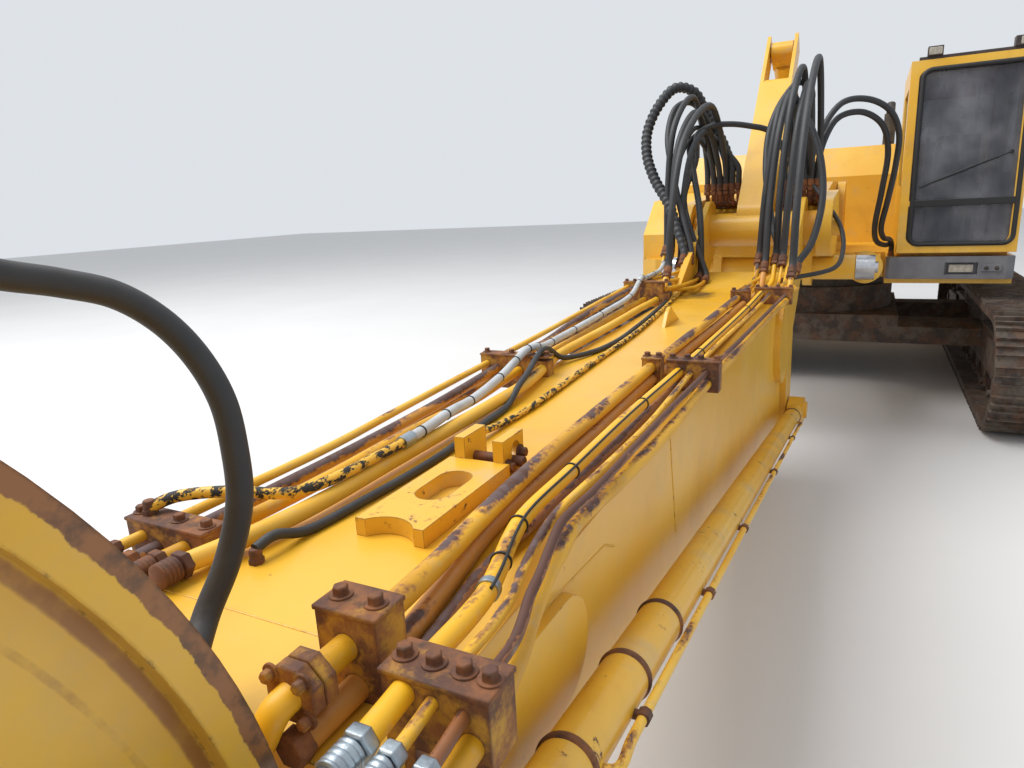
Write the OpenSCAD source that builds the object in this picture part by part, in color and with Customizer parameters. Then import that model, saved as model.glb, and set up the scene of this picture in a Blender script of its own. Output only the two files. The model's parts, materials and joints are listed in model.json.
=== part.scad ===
// Pile driver rig on tracks: a heavy tracked carrier with a three member boom,
// hydraulic lines along its main boom and a vibratory pile driver at its tip.
// X points forward, Y to the cab side, Z up, millimetres.

/* [Undercarriage] */
// Half the distance between idler and sprocket axles
wheel_x = 2300; // [1900:10:2600]
// Height of the track over its grousers
track_h = 1060; // [900:10:1200]
// Width of a track shoe
shoe_w = 600; // [450:10:700]
// Distance from the swing axis to the middle of a track
track_y = 1840; // [1700:10:2100]
// Number of shoes in one track
shoes = 52; // [40:1:60]
// Height of a grouser bar
grouser_h = 34; // [15:1:50]
// Thickness of shoe plate and link together
belt_t = 62; // [40:1:90]
// Number of bottom rollers on one side
roller_n = 8; // [5:1:9]
// Radius of a bottom roller
roller_r = 108; // [80:1:130]

/* [Upper structure] */
// Underside of the deck
deck_z = 1200; // [1150:5:1300]
// Top of the deck
deck_top = 1455; // [1400:5:1600]
// Half width of the deck
deck_half = 1750; // [1500:10:1900]
// Rear end of the counterweight
tail_x = 3750; // [3300:10:4200]
// Height of the engine hood above the deck
hood_h = 1150; // [800:10:1400]
// Radius of the slew ring
slew_r = 800; // [600:10:950]

/* [Cab] */
// Width of the cab
cab_w = 950; // [850:10:1050]
// Front of the cab at its floor
cab_x = 1700; // [1500:10:1900]
// Length of the cab
cab_l = 1650; // [1500:10:1900]
// Floor of the cab
cab_z = 1490; // [1480:5:1600]
// Height of the cab
cab_h = 1710; // [1500:10:1900]
// How far the windscreen leans back at its top
cab_lean = 110; // [0:5:250]
// Thickness of a cab wall and door
cab_t = 50; // [35:1:70]

/* [Boom places] */
// Sideways place of the boom's middle plane
boom_y = -250; // [-350:5:0]
// Boom foot pin, forward of the swing axis
foot_x = 450; // [300:10:600]
// Boom foot pin, height
foot_z = 2000; // [1850:5:2200]
// Hinge between base boom and main boom, forward place
elbow_x = 3500; // [3300:10:3700]
// Hinge between base boom and main boom, height
elbow_z = 1840; // [1780:5:1900]
// Hinge between main boom and stick, forward place
wrist_x = 9550; // [9300:10:9800]
// Hinge between main boom and stick, height
wrist_z = 950; // [900:5:1000]
// Hammer pin, forward place
tip_x = 13150; // [12500:10:13800]
// Hammer pin, height
tip_z = 1450; // [1400:5:1550]

/* [Boom sections] */
// Half width of the base boom's box
base_half = 450; // [350:5:480]
// Thickness of the base boom's front ears
base_ear_t = 100; // [50:5:120]
// Half width of the main boom's box
main_half = 330; // [280:5:360]
// Top plate of the main boom
main_top = 1470; // [1440:5:1520]
// Thickness of the plates that carry the main boom's hinges
ear_t = 40; // [30:1:45]
// Half width of the stick's box
stick_half = 270; // [220:5:290]
// Radius of the stick's round heel
heel_r = 1005; // [900:5:1100]
// How far the heel's flange stands over its web
heel_lip = 24; // [10:1:25]

/* [Cylinders] */
// Barrel radius of a hoist cylinder
hoist_r = 120; // [90:5:130]
// Sideways distance of the hoist cylinders from the boom's middle
hoist_off = 800; // [780:5:830]
// Barrel radius of the adjusting cylinder
adjust_r = 95; // [80:1:100]
// Barrel radius of a stick cylinder
stick_cyl_r = 52; // [45:1:54]
// Sideways distance of the stick cylinders from the boom's middle
stick_off = 430; // [428:1:440]
// Radial running clearance of pins
fit = 0.1; // [0.05:0.01:0.1]

/* [Pipes and hoses] */
// Radius of the two widest pipes
wide_r = 20; // [16:1:21]
// Radius of a main pipe
pipe_r = 17; // [12:1:18]
// Radius of a return pipe
slim_r = 12; // [8:1:13]
// Radius of a pilot pipe
thin_r = 9; // [6:1:10]
// Radius of a pressure hose
hose_r = 24; // [15:1:24]

/* [Hammer] */
// Width of the exciter housing
exciter_w = 720; // [600:10:800]
// Height of the exciter housing
exciter_h = 470; // [400:10:520]
// Depth of the exciter housing
exciter_d = 400; // [300:10:460]

/* [Hidden] */
$fn = 48;

yellow = [0.93, 0.67, 0.08];
rusty = [0.36, 0.20, 0.12];
steel = [0.72, 0.72, 0.70];
dark = [0.10, 0.10, 0.11];
grey = [0.33, 0.33, 0.35];
glass = [0.45, 0.52, 0.52, 0.5];

elbow = [elbow_x, elbow_z];
foot = [foot_x, foot_z];
wrist = [wrist_x, wrist_z];
tip = [tip_x, tip_z];

// Inner side of the cab, whose outer side lies over the deck's edge
cab_y = deck_half - cab_w;
wheel_z = track_h / 2;
belt_r = wheel_z - grouser_h - belt_t;
hammer_front = exciter_d / 2 + 120;
mid_x = (tip_x + hammer_front - tail_x) / 2;

// Moves the rig so that the origin is the middle of its footprint box
module rig() {
    translate([-mid_x, 0, 0]) children();
}

// Extrudes an outline of the XZ plane from y0 to y1
module slab(y0, y1) {
    translate([0, y1, 0]) rotate([90, 0, 0]) linear_extrude(y1 - y0) children();
}

// The same outline on both sides of the boom's middle plane, from a to b
module pair(a, b) {
    slab(boom_y + a, boom_y + b) children();
    slab(boom_y - b, boom_y - a) children();
}

// Outline of a link with round ends of radius r at p and s at q
module bar(p, r, q, s) {
    d = norm(q - p);
    a = atan2(q[1] - p[1], q[0] - p[0]);
    b = acos((r - s) / d);
    translate(p) circle(r);
    translate(q) circle(s);
    polygon([p + r * [cos(a + b), sin(a + b)], q + s * [cos(a + b), sin(a + b)],
        q + s * [cos(a - b), sin(a - b)], p + r * [cos(a - b), sin(a - b)]]);
}

// Round disc or pin along Y, centred on the outline point p
module pin(p, r, y0, y1) {
    translate([p[0], y1, p[1]]) rotate([90, 0, 0]) cylinder(h = y1 - y0, r = r);
}

// Cylinder from point p to q in the plane at y
module rod(p, q, y, r) {
    d = q - p;
    translate([p[0], y, p[1]]) rotate([0, 90 - atan2(d[1], d[0]), 0]) cylinder(h = norm(d), r = r);
}

// Point at distance s from p towards q
function along(p, q, s) = p + s * (q - p) / norm(q - p);

// Track

// Track centre line by length s: x, z and the outward angle
run = 2 * wheel_x;
function belt_len(r) = 2 * run + 2 * PI * r;
function belt_at(s, r, off) =
    let (t = s - belt_len(r) * floor(s / belt_len(r)), half = PI * r)
    t < run ? [-wheel_x + t, wheel_z + r + off] :
    t < run + half ? let (a = 90 - (t - run) / r * 180 / PI)
        [wheel_x + (r + off) * cos(a), wheel_z + (r + off) * sin(a)] :
    t < 2 * run + half ? [wheel_x - (t - run - half), wheel_z - r - off] :
    let (a = -90 - (t - 2 * run - half) / r * 180 / PI)
        [-wheel_x + (r + off) * cos(a), wheel_z + (r + off) * sin(a)];

// Grouser bars of one shoe, columns: place along the shoe, half foot, half tip
grousers = [[0.14, 0.045, 0.02], [0.44, 0.035, 0.015], [0.74, 0.035, 0.015]];

module track(side) {
    outer_r = belt_r + belt_t;
    pitch = belt_len(outer_r) / shoes;
    outline = [for (i = [0:shoes - 1], g = grousers, k = [0:3])
        belt_at((i + g[0] + [-g[1], -g[2], g[2], g[1]][k]) * pitch, outer_r,
            k == 0 || k == 3 ? 0 : grouser_h)];
    rig() slab(side * track_y - shoe_w / 2, side * track_y + shoe_w / 2) difference() {
        polygon(outline);
        for (s = [-1, 1]) translate([s * wheel_x, wheel_z]) circle(belt_r);
        translate([-wheel_x, wheel_z - belt_r]) square([run, 2 * belt_r]);
    }
}

module track_left() color(rusty) track(1);
module track_right() color(rusty) track(-1);

wheel_half = 150;
axle_r = 55;
frame_half = 170;
fork_t = 40;
fork_in = wheel_half + 8;
roller_z = wheel_z - belt_r + roller_r + 0.3;
carrier_r = 85;
carrier_z = wheel_z + belt_r - carrier_r - 0.3;
carrier_x = [-750, 750];

function roller_x(i) = (i - (roller_n - 1) / 2) * (2 * wheel_x - 900) / (roller_n - 1);

module wheel_pair(x, teeth) {
    for (side = [-1, 1]) rig() {
        y = side * track_y;
        pin([x, wheel_z], axle_r, y - fork_in - fork_t - 20, y + fork_in + fork_t + 20);
        difference() {
            pin([x, wheel_z], belt_r - 0.3, y - wheel_half, y + wheel_half);
            pin([x, wheel_z], belt_r - 70, y + 60, y + wheel_half + 1);
            pin([x, wheel_z], belt_r - 70, y - wheel_half - 1, y - 60);
            if (teeth > 0) for (k = [0:teeth - 1])
                translate([x, y, wheel_z]) rotate([0, k * 360 / teeth, 0])
                    translate([belt_r + 8, 0, 0]) rotate([90, 0, 0])
                        cylinder(h = 2 * wheel_half + 4, r = 48, center = true);
        }
        pin([x, wheel_z], 150, y - wheel_half, y + wheel_half);
    }
}

module idlers() color(grey) wheel_pair(wheel_x, 0);
module sprockets() color(grey) wheel_pair(-wheel_x, 19);

module track_rollers() color(grey) for (side = [-1, 1]) rig() {
    y = side * track_y;
    for (i = [0:roller_n - 1]) {
        for (s = [-1, 1]) pin([roller_x(i), roller_z], roller_r, y + s * 95 - 45, y + s * 95 + 45);
        pin([roller_x(i), roller_z], roller_r - 25, y - 95, y + 95);
        pin([roller_x(i), roller_z], 35, y - frame_half - 30, y + frame_half + 30);
    }
    for (x = carrier_x) {
        pin([x, carrier_z], carrier_r, y - 90, y + 90);
        pin([x, carrier_z], 30, y - frame_half - 30, y + 90);
    }
}

module track_frame(side) {
    y = side * track_y;
    top = wheel_z + 190;
    beam_x = wheel_x - belt_r - 60;
    low = roller_z + roller_r + 12;
    rig() difference() {
        union() {
            slab(y - frame_half, y + frame_half)
                polygon([[-beam_x, low], [beam_x, low], [beam_x, top - 60], [beam_x - 250, top],
                    [-beam_x + 250, top], [-beam_x, top - 60]]);
            for (s = [-1, 1], e = [-1, 1]) {
                a = s > 0 ? y + fork_in : y - fork_in - fork_t;
                slab(a, a + fork_t) bar([e * (beam_x - 300), wheel_z], 150, [e * wheel_x, wheel_z], 115);
            }
            for (s = [-1, 1], i = [0:roller_n - 1]) {
                a = s > 0 ? y + frame_half - 25 : y - frame_half;
                slab(a, a + 25) translate([roller_x(i) - 55, roller_z - 50]) square([110, low - roller_z + 70]);
            }
            for (x = carrier_x)
                slab(y - frame_half, y - frame_half + 40) translate([x - 50, top - 20])
                    square([100, carrier_z - top + 75]);
        }
        for (i = [0:roller_n - 1])
            pin([roller_x(i), roller_z], 35 + fit, y - frame_half - 40, y + frame_half + 40);
        for (x = carrier_x) pin([x, carrier_z], 30 + fit, y - frame_half - 40, y + 100);
        for (e = [-1, 1]) pin([e * wheel_x, wheel_z], axle_r + fit, y - 300, y + 300);
    }
}

module track_frame_left() color(rusty) track_frame(1);
module track_frame_right() color(rusty) track_frame(-1);

ring_z = deck_z - 150;
ring_split = deck_z - 70;

module carbody() color(rusty) rig() {
    leg_in = 560;
    translate([-950, -900, wheel_z - 60]) cube([1900, 1800, 300]);
    translate([0, 0, wheel_z + 200]) cylinder(h = ring_z - wheel_z - 200, r = slew_r + 40);
    for (sx = [-1, 1], sy = [-1, 1])
        slab(min(sy * 850, sy * (track_y - frame_half)), max(sy * 850, sy * (track_y - frame_half)))
            polygon([[sx * 950, wheel_z - 60], [sx * leg_in, wheel_z - 60],
                [sx * leg_in, wheel_z + 170], [sx * 860, wheel_z + 170], [sx * 950, wheel_z + 120]]);
}

module slew_ring() color(grey) rig()
    translate([0, 0, ring_z]) cylinder(h = ring_split - ring_z, r = slew_r);

// Deck and upper works

hoist_foot = [1350, 1320];
cab_side = cab_y - 80;
ear_gap = 10;
foot_ear_t = 80;
foot_r = 190;
pin_r = 60;

module deck() color(yellow) rig() {
    inner = boom_y + base_half + ear_gap;
    translate([0, 0, deck_z]) linear_extrude(deck_top - deck_z) polygon([
        [-tail_x + 900, -deck_half], [cab_x - 250, -deck_half], [cab_x - 50, -deck_half + 200],
        [cab_x - 50, boom_y - hoist_off - 180], [1080, boom_y - hoist_off - 180],
        [1080, cab_side], [cab_x - 60, cab_side], [cab_x - 60, deck_half], [-tail_x + 900, deck_half]]);
    translate([0, 0, ring_split + 0.3]) cylinder(h = deck_z - ring_split, r = slew_r - 60);
    for (s = [-1, 1]) {
        a = s > 0 ? inner : 2 * boom_y - inner - foot_ear_t;
        slab(a, a + foot_ear_t) {
            bar(foot, foot_r, foot + [-60, -420], 330);
            translate([foot_x - 480, deck_top - 20]) square([960, 120]);
        }
    }
    pin(foot, pin_r, boom_y - base_half - ear_gap, boom_y + base_half + ear_gap);
    for (s = [-1, 1]) difference() {
        for (e = [-1, 1]) {
            m = boom_y + s * hoist_off + e * (hoist_r - 5);
            slab(m - 15, m + 15) bar(hoist_foot, 105, [1000, 1325], 120);
        }
        pin(hoist_foot, 45, boom_y + s * hoist_off - 30, boom_y + s * hoist_off + 30);
    }
    for (s = [-1, 1]) pin(hoist_foot, 45 - fit, boom_y + s * hoist_off - hoist_r - 10,
        boom_y + s * hoist_off + hoist_r + 10);
}

bumper_x = cab_x - 59.7;
lamp_w = 260;

// The bumper's right part has a window in which a lamp sits
module bumper() color(grey) rig() {
    difference() {
        translate([bumper_x, cab_side, deck_z + 50]) linear_extrude(deck_top - deck_z - 50)
            polygon([[0, 0], [50, 0], [80, 30], [80, deck_half - cab_side - 60],
                [50, deck_half - cab_side], [0, deck_half - cab_side]]);
        translate([bumper_x + 35, deck_half - 540, deck_z + 90]) cube([50, lamp_w, 110]);
    }
    translate([bumper_x + 34, deck_half - 510, deck_z + 105]) cube([26, lamp_w - 60, 80]);
    translate([bumper_x + 79, deck_half - 250, deck_z + 120]) cube([12, 150, 60]);
}

hood_x0 = -tail_x + 900;
hood_x1 = -420;
hood_t = 30;
hood_y = deck_half - 40;
// Depth of a groove round a door and of a louvre
groove = 12;
// Louvres in each side of the hood, columns: first louvre, number, lower end, upper end
louvres = [[-2600, 9, 300, 850], [-1500, 9, 420, 850]];
louvre_pitch = 75;
// Doors in each side of the hood: front and rear edge
hood_doors = [-1720, -560];

module engine_hood() color(yellow) rig() difference() {
    slab(-hood_y, hood_y) polygon([[hood_x0 + 0.3, deck_top], [hood_x1, deck_top],
        [hood_x1, deck_top + hood_h - 350], [hood_x1 - 200, deck_top + hood_h],
        [hood_x0 + 0.3, deck_top + hood_h]]);
    slab(-hood_y + hood_t, hood_y - hood_t) polygon([[hood_x0 + 30, deck_top - 1],
        [hood_x1 - hood_t, deck_top - 1], [hood_x1 - hood_t, deck_top + hood_h - 360],
        [hood_x1 - 215, deck_top + hood_h - hood_t], [hood_x0 + 30, deck_top + hood_h - hood_t]]);
    for (s = [-1, 1]) {
        y = s > 0 ? hood_y - groove : -hood_y - 1;
        for (l = louvres, i = [0:l[1] - 1])
            translate([l[0] + i * louvre_pitch, y, deck_top + l[2]]) cube([32, groove + 1, l[3] - l[2]]);
        for (x = hood_doors) translate([x, y, deck_top + 60]) cube([8, groove + 1, hood_h - 200]);
    }
}

module engine() color(grey) rig()
    translate([hood_x0 + 500, -700, deck_top]) cube([1000, 1400, 850]);

module counterweight() color(yellow) rig()
    translate([0, 0, deck_z]) linear_extrude(deck_top - deck_z + hood_h) intersection() {
        circle(r = tail_x, $fn = 96);
        translate([-tail_x, -deck_half]) square([900 - 0.3, 2 * deck_half]);
    }

tank_x1 = 1500;
// Upright grooves that part the doors of the tank cabinet
tank_doors = [150, 700];

module tank_cabinet() color(yellow) rig() difference() {
    slab(-deck_half + 20, boom_y - hoist_off - 190) polygon([[hood_x1 + 20, deck_top],
        [tank_x1, deck_top], [tank_x1, deck_top + 260], [tank_x1 - 450, deck_top + 620],
        [hood_x1 + 20, deck_top + 700]]);
    for (x = tank_doors) translate([x, -deck_half + 19, deck_top + 60]) cube([8, groove + 1, 540]);
}

module exhaust() color(grey) rig() translate([-1500, 700, deck_top + hood_h]) {
    cylinder(h = 420, r = 70);
    translate([0, 0, 415]) rotate([0, -35, 0]) cylinder(h = 160, r = 52);
}

module handrails() color(dark) rig() {
    z0 = deck_top + hood_h;
    y = -deck_half + 120;
    for (x = [hood_x0 + 150, hood_x0 + 1100, hood_x1 - 420])
        translate([x, y, z0]) cylinder(h = 380, r = 17);
    translate([hood_x0 + 133, y, z0 + 380]) rotate([0, 90, 0])
        cylinder(h = hood_x1 - 420 - hood_x0 - 150 + 34, r = 17);
}

// Cab

door_x0 = cab_x - cab_l + 250;
door_x1 = cab_x - 450;
door_z0 = cab_z + 70;
door_z1 = cab_z + cab_h - 130;
door_gap = 6;
hinge_y = cab_y + cab_w + 16;

// Height over the cab's floor at which the front begins to lean back
kink_z = 455;

// Outline of the cab seen from its side, its front moved back by inset
module cab_outline(inset) {
    x0 = cab_x - cab_l;
    polygon([[x0 + inset, cab_z + inset], [cab_x - inset, cab_z + inset],
        [cab_x - inset, cab_z + kink_z], [cab_x - cab_lean - inset, cab_z + cab_h - inset],
        [x0 + inset, cab_z + cab_h - inset]]);
}

screen_side = 70;
screen_sill = 80;
screen_head = 85;
screen_round = 75;
screen_bar = 50;

// The windscreen's opening, cut through the front and narrowed by gap, with the bar left across it
module screen(gap) {
    w = cab_w - 2 * screen_side - 2 * gap;
    h = cab_h - screen_sill - screen_head - 2 * gap;
    r = screen_round - gap;
    translate([cab_x - 400, cab_y + screen_side + gap, cab_z + screen_sill + gap])
        rotate([90, 0, 90]) linear_extrude(500) difference() {
            union() {
                translate([r, 0]) square([w - 2 * r, h]);
                translate([0, r]) square([w, h - 2 * r]);
                for (x = [r, w - r], y = [r, h - r]) translate([x, y]) circle(r);
            }
            translate([-1, kink_z - screen_sill - gap - screen_bar / 2 - gap])
                square([w + 2, screen_bar + 2 * gap]);
        }
}

module cab_shell() color(yellow) rig() {
    difference() {
        slab(cab_y, cab_y + cab_w) cab_outline(0);
        slab(cab_y + cab_t, cab_y + cab_w - cab_t) cab_outline(cab_t);
        screen(0);
        translate([cab_x - 1250, cab_y - 1, cab_z + 620]) cube([950, cab_t + 2, 880]);
        translate([cab_x - cab_l - 1, cab_y + 120, cab_z + 800]) cube([cab_t + 2, cab_w - 240, 700]);
        translate([door_x1 + 90, cab_y + cab_w - cab_t - 1, cab_z + 620]) cube([190, cab_t + 2, 850]);
        translate([door_x0, cab_y + cab_w - cab_t - 1, door_z0]) cube([door_x1 - door_x0, cab_t + 2,
            door_z1 - door_z0]);
    }
    translate([cab_x - cab_l + 120, cab_y + 40, deck_top]) cube([120, cab_w - 80, cab_z - deck_top + 1]);
    translate([cab_x - 300, cab_y + 40, deck_top]) cube([120, cab_w - 80, cab_z - deck_top + 1]);
    for (z = [door_z0 + 250, door_z1 - 350]) {
        translate([door_x0 - 70, cab_y + cab_w - 1, z]) cube([58, 12, 90]);
        translate([door_x0 - 18, cab_y + cab_w + 3, z]) cube([18, 8, 90]);
        translate([door_x0, hinge_y, z]) cylinder(h = 90, r = 13);
        translate([door_x0, hinge_y, z]) cylinder(h = 165, r = 7);
    }
}

module cab_door() color(yellow) rig() {
    difference() {
        translate([door_x0 + door_gap, cab_y + cab_w - cab_t, door_z0 + door_gap])
            cube([door_x1 - door_x0 - 2 * door_gap, cab_t, door_z1 - door_z0 - 2 * door_gap]);
        translate([door_x0 + 90, cab_y + cab_w - cab_t - 1, cab_z + 700])
            cube([door_x1 - door_x0 - 180, cab_t + 2, 740]);
    }
    for (z = [door_z0 + 340.5, door_z1 - 259.5]) difference() {
        union() {
            translate([door_x0, hinge_y, z]) cylinder(h = 75, r = 13);
            translate([door_x0, cab_y + cab_w - 1, z]) cube([70, 12, 75]);
        }
        translate([door_x0, hinge_y, z - 1]) cylinder(h = 80, r = 7 + fit);
    }
    translate([door_x1 - 120, cab_y + cab_w - 1, door_z0 + 480]) cube([70, 35, 22]);
}

// A pane of glass with its seal gap all round, lying in an opening of w by h
pane_t = 8;
seal = 0.3;
module pane_y(w, h) translate([seal, 0, seal]) cube([w - 2 * seal, pane_t, h - 2 * seal]);
module pane_x(w, h) translate([0, seal, seal]) cube([pane_t, w - 2 * seal, h - 2 * seal]);

module door_glass() color(glass) rig()
    translate([door_x0 + 90, cab_y + cab_w - 29, cab_z + 700]) pane_y(door_x1 - door_x0 - 180, 740);

module cab_glass() color(glass) rig() {
    intersection() {
        difference() {
            slab(cab_y, cab_y + cab_w) cab_outline(20);
            slab(cab_y - 1, cab_y + cab_w + 1) cab_outline(20 + pane_t);
        }
        screen(seal);
    }
    translate([cab_x - 1250, cab_y + 21, cab_z + 620]) pane_y(950, 880);
    translate([cab_x - cab_l + 21, cab_y + 120, cab_z + 800]) pane_x(cab_w - 240, 700);
    translate([door_x1 + 90, cab_y + cab_w - 29, cab_z + 620]) pane_y(190, 850);
}

module cab_seat() color(dark) rig() translate([cab_x - 1050, cab_y + cab_w / 2, cab_z + cab_t]) {
    translate([-150, -200, 0]) cube([350, 400, 300]);
    translate([-230, -250, 299]) cube([500, 500, 130]);
    translate([-230, -240, 420]) rotate([0, -8, 0]) cube([130, 480, 620]);
    translate([560, -180, 0]) cube([120, 360, 560]);
}

module roof_lamps() color(dark) rig() translate([cab_x - cab_lean - 60, cab_y + 60, cab_z + cab_h]) {
    translate([-20, 0, 0]) cube([60, cab_w - 120, 30]);
    for (y = [60, cab_w - 240]) translate([-40, y, 29]) cube([110, 120, 80]);
}

// Base boom

hoist_eye = [2900, 1480];
adjust_eye = [520, 2480];
// The horn on the main boom, from the elbow to the adjusting cylinder's pin
horn_l = 2020;
horn_angle = 132;
adjust_pin = elbow + horn_l * [cos(horn_angle), sin(horn_angle)];
box_front = elbow_x - 320;

// Rear and front end of the base boom's straight top
top_rear = foot + [950, 190];
top_front = [elbow_x - 800, elbow_z + 220];
cheek_in = adjust_r + 5;
cheek_out = cheek_in + 30;
hoist_hub = hoist_off - 75;
pad_h = 30;
pad_l = 60;
// Point over the base boom's top, s along it and h above it
function top_point(s, h) = let (t = (top_front - top_rear) / norm(top_front - top_rear))
    top_rear + s * t + h * [-t[1], t[0]];

module base_side() {
    translate(foot) circle(foot_r);
    polygon([foot + [-20, foot_r], top_rear, top_front,
        [box_front, elbow_z + 110], [box_front, elbow_z - 230], [elbow_x - 700, elbow_z - 290],
        foot + [1050, -260], foot + [40, -foot_r]]);
}

module base_boom() color(yellow) rig() {
    difference() {
        union() {
            slab(boom_y - base_half, boom_y + base_half) base_side();
            pair(base_half + 10, base_half + 10 + base_ear_t) bar([elbow_x - 750, elbow_z], 270, elbow, 215);
            pair(base_half - 10, base_half + 11)
                bar([elbow_x - 750, elbow_z], 250, [elbow_x - 450, elbow_z - 30], 150);
            pair(330, 400) bar([2850, 1700], 190, hoist_eye, 150);
            pair(adjust_r + 28, adjust_r + 60) bar(adjust_eye, 90, adjust_eye + [90, -330], 160);
            for (s = [120, norm(top_front - top_rear) - 160]) pair(240, 360)
                polygon([top_point(s, -5), top_point(s + pad_l, -5), top_point(s + pad_l, pad_h),
                    top_point(s, pad_h)]);
            pin(hoist_eye, 100, boom_y - hoist_hub, boom_y + hoist_hub);
        }
        pin(foot, pin_r + fit, boom_y - base_half - 5, boom_y + base_half + 5);
    }
    pin(elbow, pin_r, boom_y - base_half - base_ear_t - 60, boom_y + base_half + base_ear_t + 60);
}

// Sweeps a round tube of radius r along points, each ring square to the path

function unit(v) = v / norm(v);
function tangent(p, i) = unit(p[min(i + 1, len(p) - 1)] - p[max(i - 1, 0)]);
function across(t) = unit(cross(t, abs(t[2]) > 0.95 ? [1, 0, 0] : [0, 0, 1]));
function ring(c, t, r, n, u) = let (v = cross(t, u))
    [for (k = [0:n - 1]) c + r * (cos(360 * k / n) * u + sin(360 * k / n) * v)];
// Side vector carried along the path without a twist
function carry(p, i, u) = let (t = tangent(p, i)) unit(u - (u * t) * t);
function frames(p, i, u) = i >= len(p) ? [] :
    let (w = carry(p, i, u)) concat([w], frames(p, i + 1, w));

module tube(path, r, n = 8) {
    us = frames(path, 0, across(tangent(path, 0)));
    m = len(path);
    points = [for (i = [0:m - 1]) each ring(path[i], tangent(path, i), r, n, us[i])];
    sides = [for (i = [0:m - 2], k = [0:n - 1])
        [i * n + k, (i + 1) * n + k, (i + 1) * n + (k + 1) % n, i * n + (k + 1) % n]];
    caps = [[for (k = [0:n - 1]) k], [for (k = [0:n - 1]) m * n - 1 - k]];
    polyhedron(points, concat(sides, caps), convexity = 8);
}

// Smooth curve through hand chosen points, with steps points to each stretch
function hermite(a, b, ta, tb, t) = (2 * t * t * t - 3 * t * t + 1) * a + (t * t * t - 2 * t * t + t) * ta
    + (3 * t * t - 2 * t * t * t) * b + (t * t * t - t * t) * tb;
function slope(p, i) = (p[min(i + 1, len(p) - 1)] - p[max(i - 1, 0)]) / 2;
function smooth(p, steps) = concat([for (i = [0:len(p) - 2], k = [0:steps - 1])
    hermite(p[i], p[i + 1], slope(p, i), slope(p, i + 1), k / steps)], [p[len(p) - 1]]);

// Pipes on the base boom, columns: offset from the boom's middle, radius
base_pipe_rows = [[-325, pipe_r], [-275, pipe_r], [275, pipe_r], [325, pipe_r]];

row_x = box_front - 250;
row_z = elbow_z + 168;
coupling_l = 110;
// Offsets of the couplings from the boom's middle, clear of the horn
coupling_offsets = [-425, -375, -325, -275, -225, -175, 175, 225, 275, 325, 375, 425];

module base_pipes() color(yellow) rig() for (row = base_pipe_rows) {
    y = boom_y + row[0];
    lift = pad_h + row[1] + 0.3;
    a = top_point(100, lift);
    b = top_point(norm(top_rear - top_front) - 20, lift);
    tube([[a[0] - 350, y, a[1] - 10], [a[0], y, a[1]], [b[0], y, b[1]],
        [row_x - 5.5, y, row_z + 30]], row[1]);
}

module coupling_row() color(rusty) rig() {
    translate([row_x, boom_y - base_half + 11, row_z]) cube([60, 2 * base_half - 22, 52]);
    for (y = coupling_offsets) translate([row_x + 59, boom_y + y, row_z + 30])
        rotate([0, 90, 0]) cylinder(h = coupling_l, r = 17);
}

// Main boom

deck_x = elbow_x + 950;
box_end = 8850;
low_front = [8450, 1130];
low_rear = [4400, 520];
keel = [4200, 600];
stick_pin = wrist + 502 * [cos(129.4), sin(129.4)];
main_hub = base_half + 2;

module main_side() {
    polygon([[deck_x, main_top], [box_end, main_top], [box_end, 1190], low_front, low_rear,
        [elbow_x + 500, 900], [elbow_x + 320, elbow_z - 300]]);
}

module main_boom() color(yellow) rig() {
    difference() {
        union() {
            slab(boom_y - main_half, boom_y + main_half) main_side();
            pair(main_half - 1, main_half + ear_t) {
                bar(elbow, 230, [deck_x + 150, 1180], 280);
                bar([deck_x - 150, 1250], 200, keel, 150);
            }
            pin(elbow, 130, boom_y - main_hub, boom_y + main_hub);
            pair(stick_half + heel_lip + 10, main_half + 24) {
                bar([8700, 1290], 130, wrist, 230);
                bar([8300, 1290], 110, [8700, 1290], 130);
            }
            pair(cheek_in, cheek_out) horn();
            slab(boom_y - cheek_out, boom_y + cheek_out)
                bar(elbow + [-60, 100], 130, along(elbow, adjust_pin, 1500), 110);
            pair(main_half, main_half + ear_t + 130) translate(keel) circle(60);
        }
        pin(elbow, pin_r + fit, boom_y - main_hub - 5, boom_y + main_hub + 5);
    }
    pin(wrist, 55, boom_y - main_half - 45, boom_y + main_half + 45);
    slab(boom_y - cheek_out, boom_y + cheek_out) translate(adjust_pin) circle(45);
}

// Outline of the horn's upper part, its end cut square
module horn() {
    bar(along(elbow, adjust_pin, 1400), 110, adjust_pin, 100);
    translate(adjust_pin) rotate(horn_angle) translate([-60, -100]) square([150, 200]);
}

lock_x = 8140;
lock_t = 40;

// A plate with a long hole and a notch, and two lugs behind it, one with a hole
module lock_plate() color(yellow) rig() translate([lock_x, boom_y - 20, main_top]) {
    difference() {
        translate([-190, -85, 0]) cube([380, 170, lock_t]);
        for (x = [-70, 20]) translate([x, 0, -1]) cylinder(h = lock_t + 2, r = 42);
        translate([-70, -42, -1]) cube([90, 84, lock_t + 2]);
        translate([235, 0, -1]) cylinder(h = lock_t + 2, r = 75);
    }
    for (y = [-70, 40]) difference() {
        translate([-300, y, 0]) cube([111, 30, 95]);
        if (y > 0) translate([-255, y - 1, 55]) rotate([-90, 0, 0]) cylinder(h = 32, r = 22);
    }
}

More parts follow.
